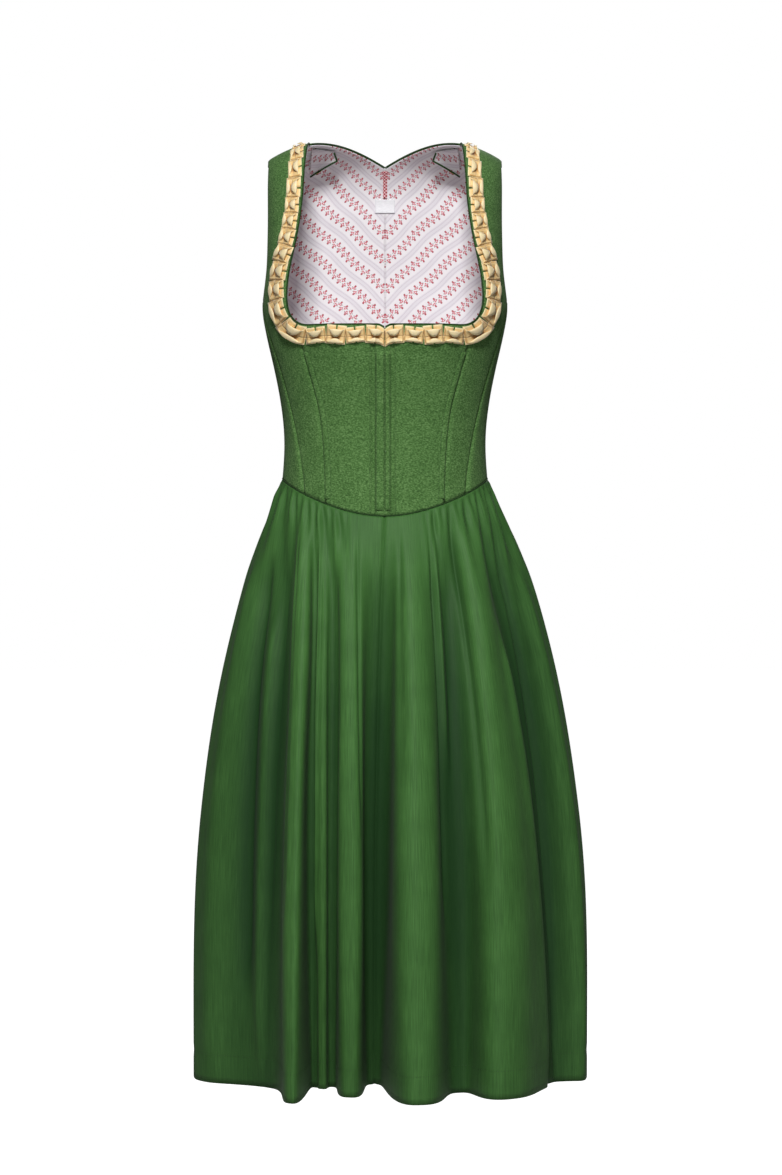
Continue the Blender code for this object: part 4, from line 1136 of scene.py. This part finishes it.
def uneven(place, seed):
    """Smooth unevenness along a line, from -1 to 1, one bump for each whole number."""
    steps = np.random.default_rng(seed).uniform(-1, 1, 997)
    steps[::2], steps[1::2] = np.abs(steps[::2]) * 0.6 + 0.4, -np.abs(steps[1::2]) * 0.6 - 0.4
    index = np.floor(place).astype(int)
    t = smooth(0, 1, place - index)
    return mix(steps[index % 996], steps[(index + 1) % 996], t)


def gathered(points, s, down):
    """Moves the skirt's cloth in and out by its gathers and creases, and gives its painted shade."""
    deg = skirt_degrees(s)
    below = -SEAM_FOOT_GAP - points[..., 2] + waist_z(deg)
    along = (deg + 93.0) / 360.0 * 720.0
    free = smooth(*FLAT_FRONT, np.abs(deg))
    move = np.zeros_like(deg)
    for gathers in GATHERS:
        wander = 0.35 * np.sin(below / (14 * gathers.pitch) * 3 + along / 60)
        grow = smooth(0, gathers.full_at, below) * (1 - smooth(gathers.full_at, gathers.gone_at, below))
        height = gathers.height * smooth(0.0, 1.0, grow) * free
        move += uneven(along / gathers.pitch + wander + 40, gathers.seed) * height
    for crease in CREASES:
        middle = crease.waist_deg + crease.drift * down
        window = smooth(crease.top - 40, crease.top + 60, below)
        window = window * (1 - smooth(crease.foot - 120, crease.foot, below))
        move += crease.height * window * np.exp(-((deg - middle) / crease.width) ** 2)
    soft = np.sin(along / 31 + below / 170 + 0.5) + np.sin(along / 19 - below / 230 + 2.0)
    move += 0.4 * soft * smooth(60, 260, below)
    gap = np.diff(COLUMN["waist_deg"], append=COLUMN["waist_deg"][0] + 360)
    crests = np.minimum(UPPER_FOLD, 0.55 * np.minimum(gap, np.roll(gap, 1)))
    row = np.floor(s).astype(int)
    crest = mix(crests[row % len(FOLDS)], crests[(row + 1) % len(FOLDS)], s - row)
    move += crest * np.cos(math.pi * s) * smooth(15, 120, below) * (1 - 0.8 * smooth(400, 690, below))
    between = (0.5 - 0.5 * np.cos(math.pi * s)) ** 1.6 * smooth(40, 300, below)
    # Painted shade: darker in the valleys between folds, where the cloth is moved in, and towards the sides.
    depth = PAINTED_SHADE_FOLD * between + PAINTED_SHADE_CREASE * np.clip(2.0 - move, 0, 12)
    depth = depth + PAINTED_SHADE_SIDE * smooth(62, 92, np.abs(deg))
    corner = 6.0 * np.exp(-(((deg + 180) % 360 - 180) ** 2 - 93.0 ** 2) ** 2 / 900.0 ** 2) * down ** 40
    points = points + normals(points) * move[..., None]
    points[..., 2] += corner
    return points, np.clip(depth, 0, 0.9)


SKIRT_PIECES = {
    "skirt_front_right": (0, CENTRE_FRONT_FOLD, 46),
    "skirt_front_left": (CENTRE_FRONT_FOLD, LEFT_SIDE_FOLD, 60),
    "skirt_back": (LEFT_SIDE_FOLD, len(FOLDS), 26),
}
HEM_DEPTH, SEAM_LAP = 36.0, 0.02            # the lap, in folds, keeps a seam shut where the cloth turns
hem_lines = []
for name, (first, last, steps) in SKIRT_PIECES.items():
    across, up = net((last - first) * steps, 104)
    s, down = mix(first - SEAM_LAP, last + SEAM_LAP, across), (1 - up) ** 1.25
    points = skirt_form(s, down)
    points, depth = gathered(points, s, down)
    to_hem = points[..., 2] - HEM_Z
    fold_in = -0.7 * np.exp(-((to_hem - HEM_DEPTH) / 2.5) ** 2)
    seam_in = -2.2 * np.exp(-(run_length(points, 1) / 2.4) ** 2)
    seam_in += -2.2 * np.exp(-((run_length(points, 1)[:, -1:] - run_length(points, 1)) / 2.4) ** 2)
    points = points + normals(points) * (fold_in + seam_in)[..., None]
    hem_run = run_length(points, 1)[:1]
    cloth_map = np.stack([np.broadcast_to(hem_run, s.shape), run_length(points, 0)], axis=-1)
    mesh = make_mesh(name + "_cloth", points, cloth_map)
    # The painted shade goes to the cloth as an attribute.
    mesh.attributes.new("Depth", "FLOAT", "POINT").data.foreach_set("value", depth.ravel())
    finish_piece(name + "_cloth", mesh, [skirt_cloth], [name], 1.2)
    flat_size(points)
    row = int(np.argmin(np.abs(to_hem.mean(axis=1) - HEM_DEPTH)))
    hem_lines.append((points + normals(points) * 0.25)[row])

# %% [markdown]
# ## Stitches
# The hem, the closure and the channels are topstitched with thread 0.4 mm thick in the cloth's own green.
# A stitch is a tiny rounded bar. A Geometry Nodes tree spaces copies of it along each line and turns them
# to run with it, with a gap between them where the thread dives into the cloth.

# %% Stitch tree
stitch_tree, given = growing_tree("Stitches along lines", Pitch="Float", Length="Float", Thickness="Float")
lines = add(stitch_tree, "GeometryNodeMeshToCurve", {"Mesh": given["Geometry"]})
spots = add(stitch_tree, "GeometryNodeResampleCurve", {"Curve": lines.outputs[0], "Length": given["Pitch"]},
            mode="LENGTH")
bead = add(stitch_tree, "GeometryNodeMeshUVSphere", {"Segments": 5, "Rings": 4, "Radius": 0.5})
run = stitch_tree.nodes.new("GeometryNodeInputTangent")
facing = add(stitch_tree, "FunctionNodeAlignRotationToVector", {"Vector": run.outputs[0]}, axis="Z")
shape = add(stitch_tree, "ShaderNodeCombineXYZ", {"X": given["Thickness"], "Y": given["Thickness"],
                                                  "Z": given["Length"]})
placed = add(stitch_tree, "GeometryNodeInstanceOnPoints",
             {"Points": spots.outputs[0], "Instance": bead.outputs[0], "Rotation": facing.outputs[0],
              "Scale": shape.outputs[0]})
end_tree(stitch_tree, placed.outputs[0], given["Material"])


# %% Sewing
def stitches(name, lines, pitch=3.2, length=2.3):
    places = np.concatenate(lines)
    edges, start = [], 0
    for line in lines:
        edges += [(i, i + 1) for i in range(start, start + len(line) - 1)]
        start += len(line)
    path = bpy.data.meshes.new(name + "_path")
    path.from_pydata((places * MM).tolist(), edges, [])
    mesh = grown_mesh(path, stitch_tree, name, pitch=pitch * MM, length=length * MM, thickness=0.45 * MM,
                      material=thread)
    mesh.materials.clear()
    mesh.shade_smooth()
    finish_piece(name, mesh, [thread], [])
    print(name, "has", len(mesh.polygons) // 20, "stitches")


stitches("hem_stitches", hem_lines, pitch=4.2, length=1.6)
bodice_lines = []
for flip, closure_width in ((np.ones(3), CLOSURE["left"]), (MIRROR, CLOSURE["right"])):
    level = np.linspace(CHANNEL_FOOT, CHANNEL_TOP, 60)
    princess = seam("princess", level)
    for inward, lift in ((0.6, -0.1), (CHANNEL_INSET + CHANNEL_WIDTH + 0.7, 0.35)):
        bodice_lines.append(on_form(princess - degrees_for(inward, princess, level), level, lift) * flip)
    level = np.linspace(waist_z(0.0) + CLOSURE_FOOT, CLOSURE_TOP, 60)
    for off, lift in ((-1.6, 1.9), (6.2, 0.4)):
        bodice_lines.append(on_form(degrees_for(closure_width + off, 2.0, level), level, lift) * flip)
stitches("bodice_topstitches", bodice_lines, pitch=3.0, length=2.2)

# %% [markdown]
# ## Floor, light and camera
# The dress hangs over a plain pale floor, in soft light from the front and above, as in a studio. The
# camera stands 4 m in front, level with the skirt's upper third, with a long lens.

# %% Floor
FLOOR_Z = -1.36
turn = np.radians(np.arange(64) * 360 / 64)
floor_mesh = bpy.data.meshes.new("floor")
floor_mesh.from_pydata([(30 * math.cos(a), 30 * math.sin(a), FLOOR_Z) for a in turn], [], [list(range(64))])
floor = bpy.data.objects.new("floor", floor_mesh)
bpy.context.scene.collection.objects.link(floor)
material, tree, shader = new_material("pale studio floor, painted", Roughness=0.9)
shader.inputs["Emission Color"].default_value = colour("#ffffff")
place = add(tree, "ShaderNodeTexCoord").outputs["Object"]
speckle = add(tree, "ShaderNodeTexNoise", {"Vector": place, "Scale": 8.0})
tree.links.new(ramp(tree, speckle.outputs["Fac"], [(0.3, "#b4b4b4"), (0.7, "#bababa")]),
               shader.inputs["Base Color"])
seen = add(tree, "ShaderNodeLightPath").outputs["Is Camera Ray"]
tree.links.new(seen, shader.inputs["Emission Strength"])
floor_mesh.materials.append(material)
print("floor", -FLOOR_Z, "m below the shoulders")

# %% Light
scene = bpy.context.scene
scene.view_settings.view_transform = "Standard"
world = bpy.data.worlds.new("studio")
scene.world = world
world.use_nodes = True
sky = world.node_tree
background = sky.nodes["Background"]
background.inputs["Color"].default_value = (1.0, 1.0, 1.0, 1.0)
background.inputs["Strength"].default_value = 0.045
paper = add(sky, "ShaderNodeBackground", {"Color": (1.0, 1.0, 1.0, 1.0), "Strength": 1.0})
seen = add(sky, "ShaderNodeLightPath").outputs["Is Camera Ray"]
either = add(sky, "ShaderNodeMixShader", {0: seen, 1: background.outputs[0], 2: paper.outputs[0]})
sky.links.new(either.outputs[0], sky.nodes["World Output"].inputs["Surface"])
Lamp = namedtuple("Lamp", "name place aim size power")
LAMPS = [Lamp("large front light", (-0.12, -2.7, 1.6), (0, 0, -0.45), 0.5, 97.0),
         Lamp("low front light", (0.0, -4.2, -0.4), (0, 0, -0.6), 0.5, 12.0),
         Lamp("back light", (0.5, 3.6, 1.7), (0, 0, -0.5), 1.4, 55.0)]
for lamp in LAMPS:
    light = bpy.data.lights.new(lamp.name, "AREA")
    light.size, light.energy = lamp.size, lamp.power
    holder = bpy.data.objects.new(lamp.name, light)
    holder.location = lamp.place
    holder.rotation_euler = (Vector(lamp.aim) - Vector(lamp.place)).to_track_quat("-Z", "Y").to_euler()
    scene.collection.objects.link(holder)
print(len(LAMPS), "lights")

# %% Camera
camera_data = bpy.data.cameras.new("camera")
camera_data.lens, camera_data.sensor_width = 103.0, 36.0
camera = bpy.data.objects.new("camera", camera_data)
camera.location = (0.0072, -4.0, -0.53)
camera.rotation_euler = (math.pi / 2, 0.0, 0.0)
scene.collection.objects.link(camera)
scene.camera = camera
print("camera at", tuple(camera.location))

# %% Finish
triangles = 0
for piece in pieces.values():
    count = sum(len(p.vertices) - 2 for p in piece.evaluated_get(
        bpy.context.evaluated_depsgraph_get()).to_mesh().polygons)
    triangles += count
    print(f"{piece.name:32} {count:7}")
print("triangles", triangles)
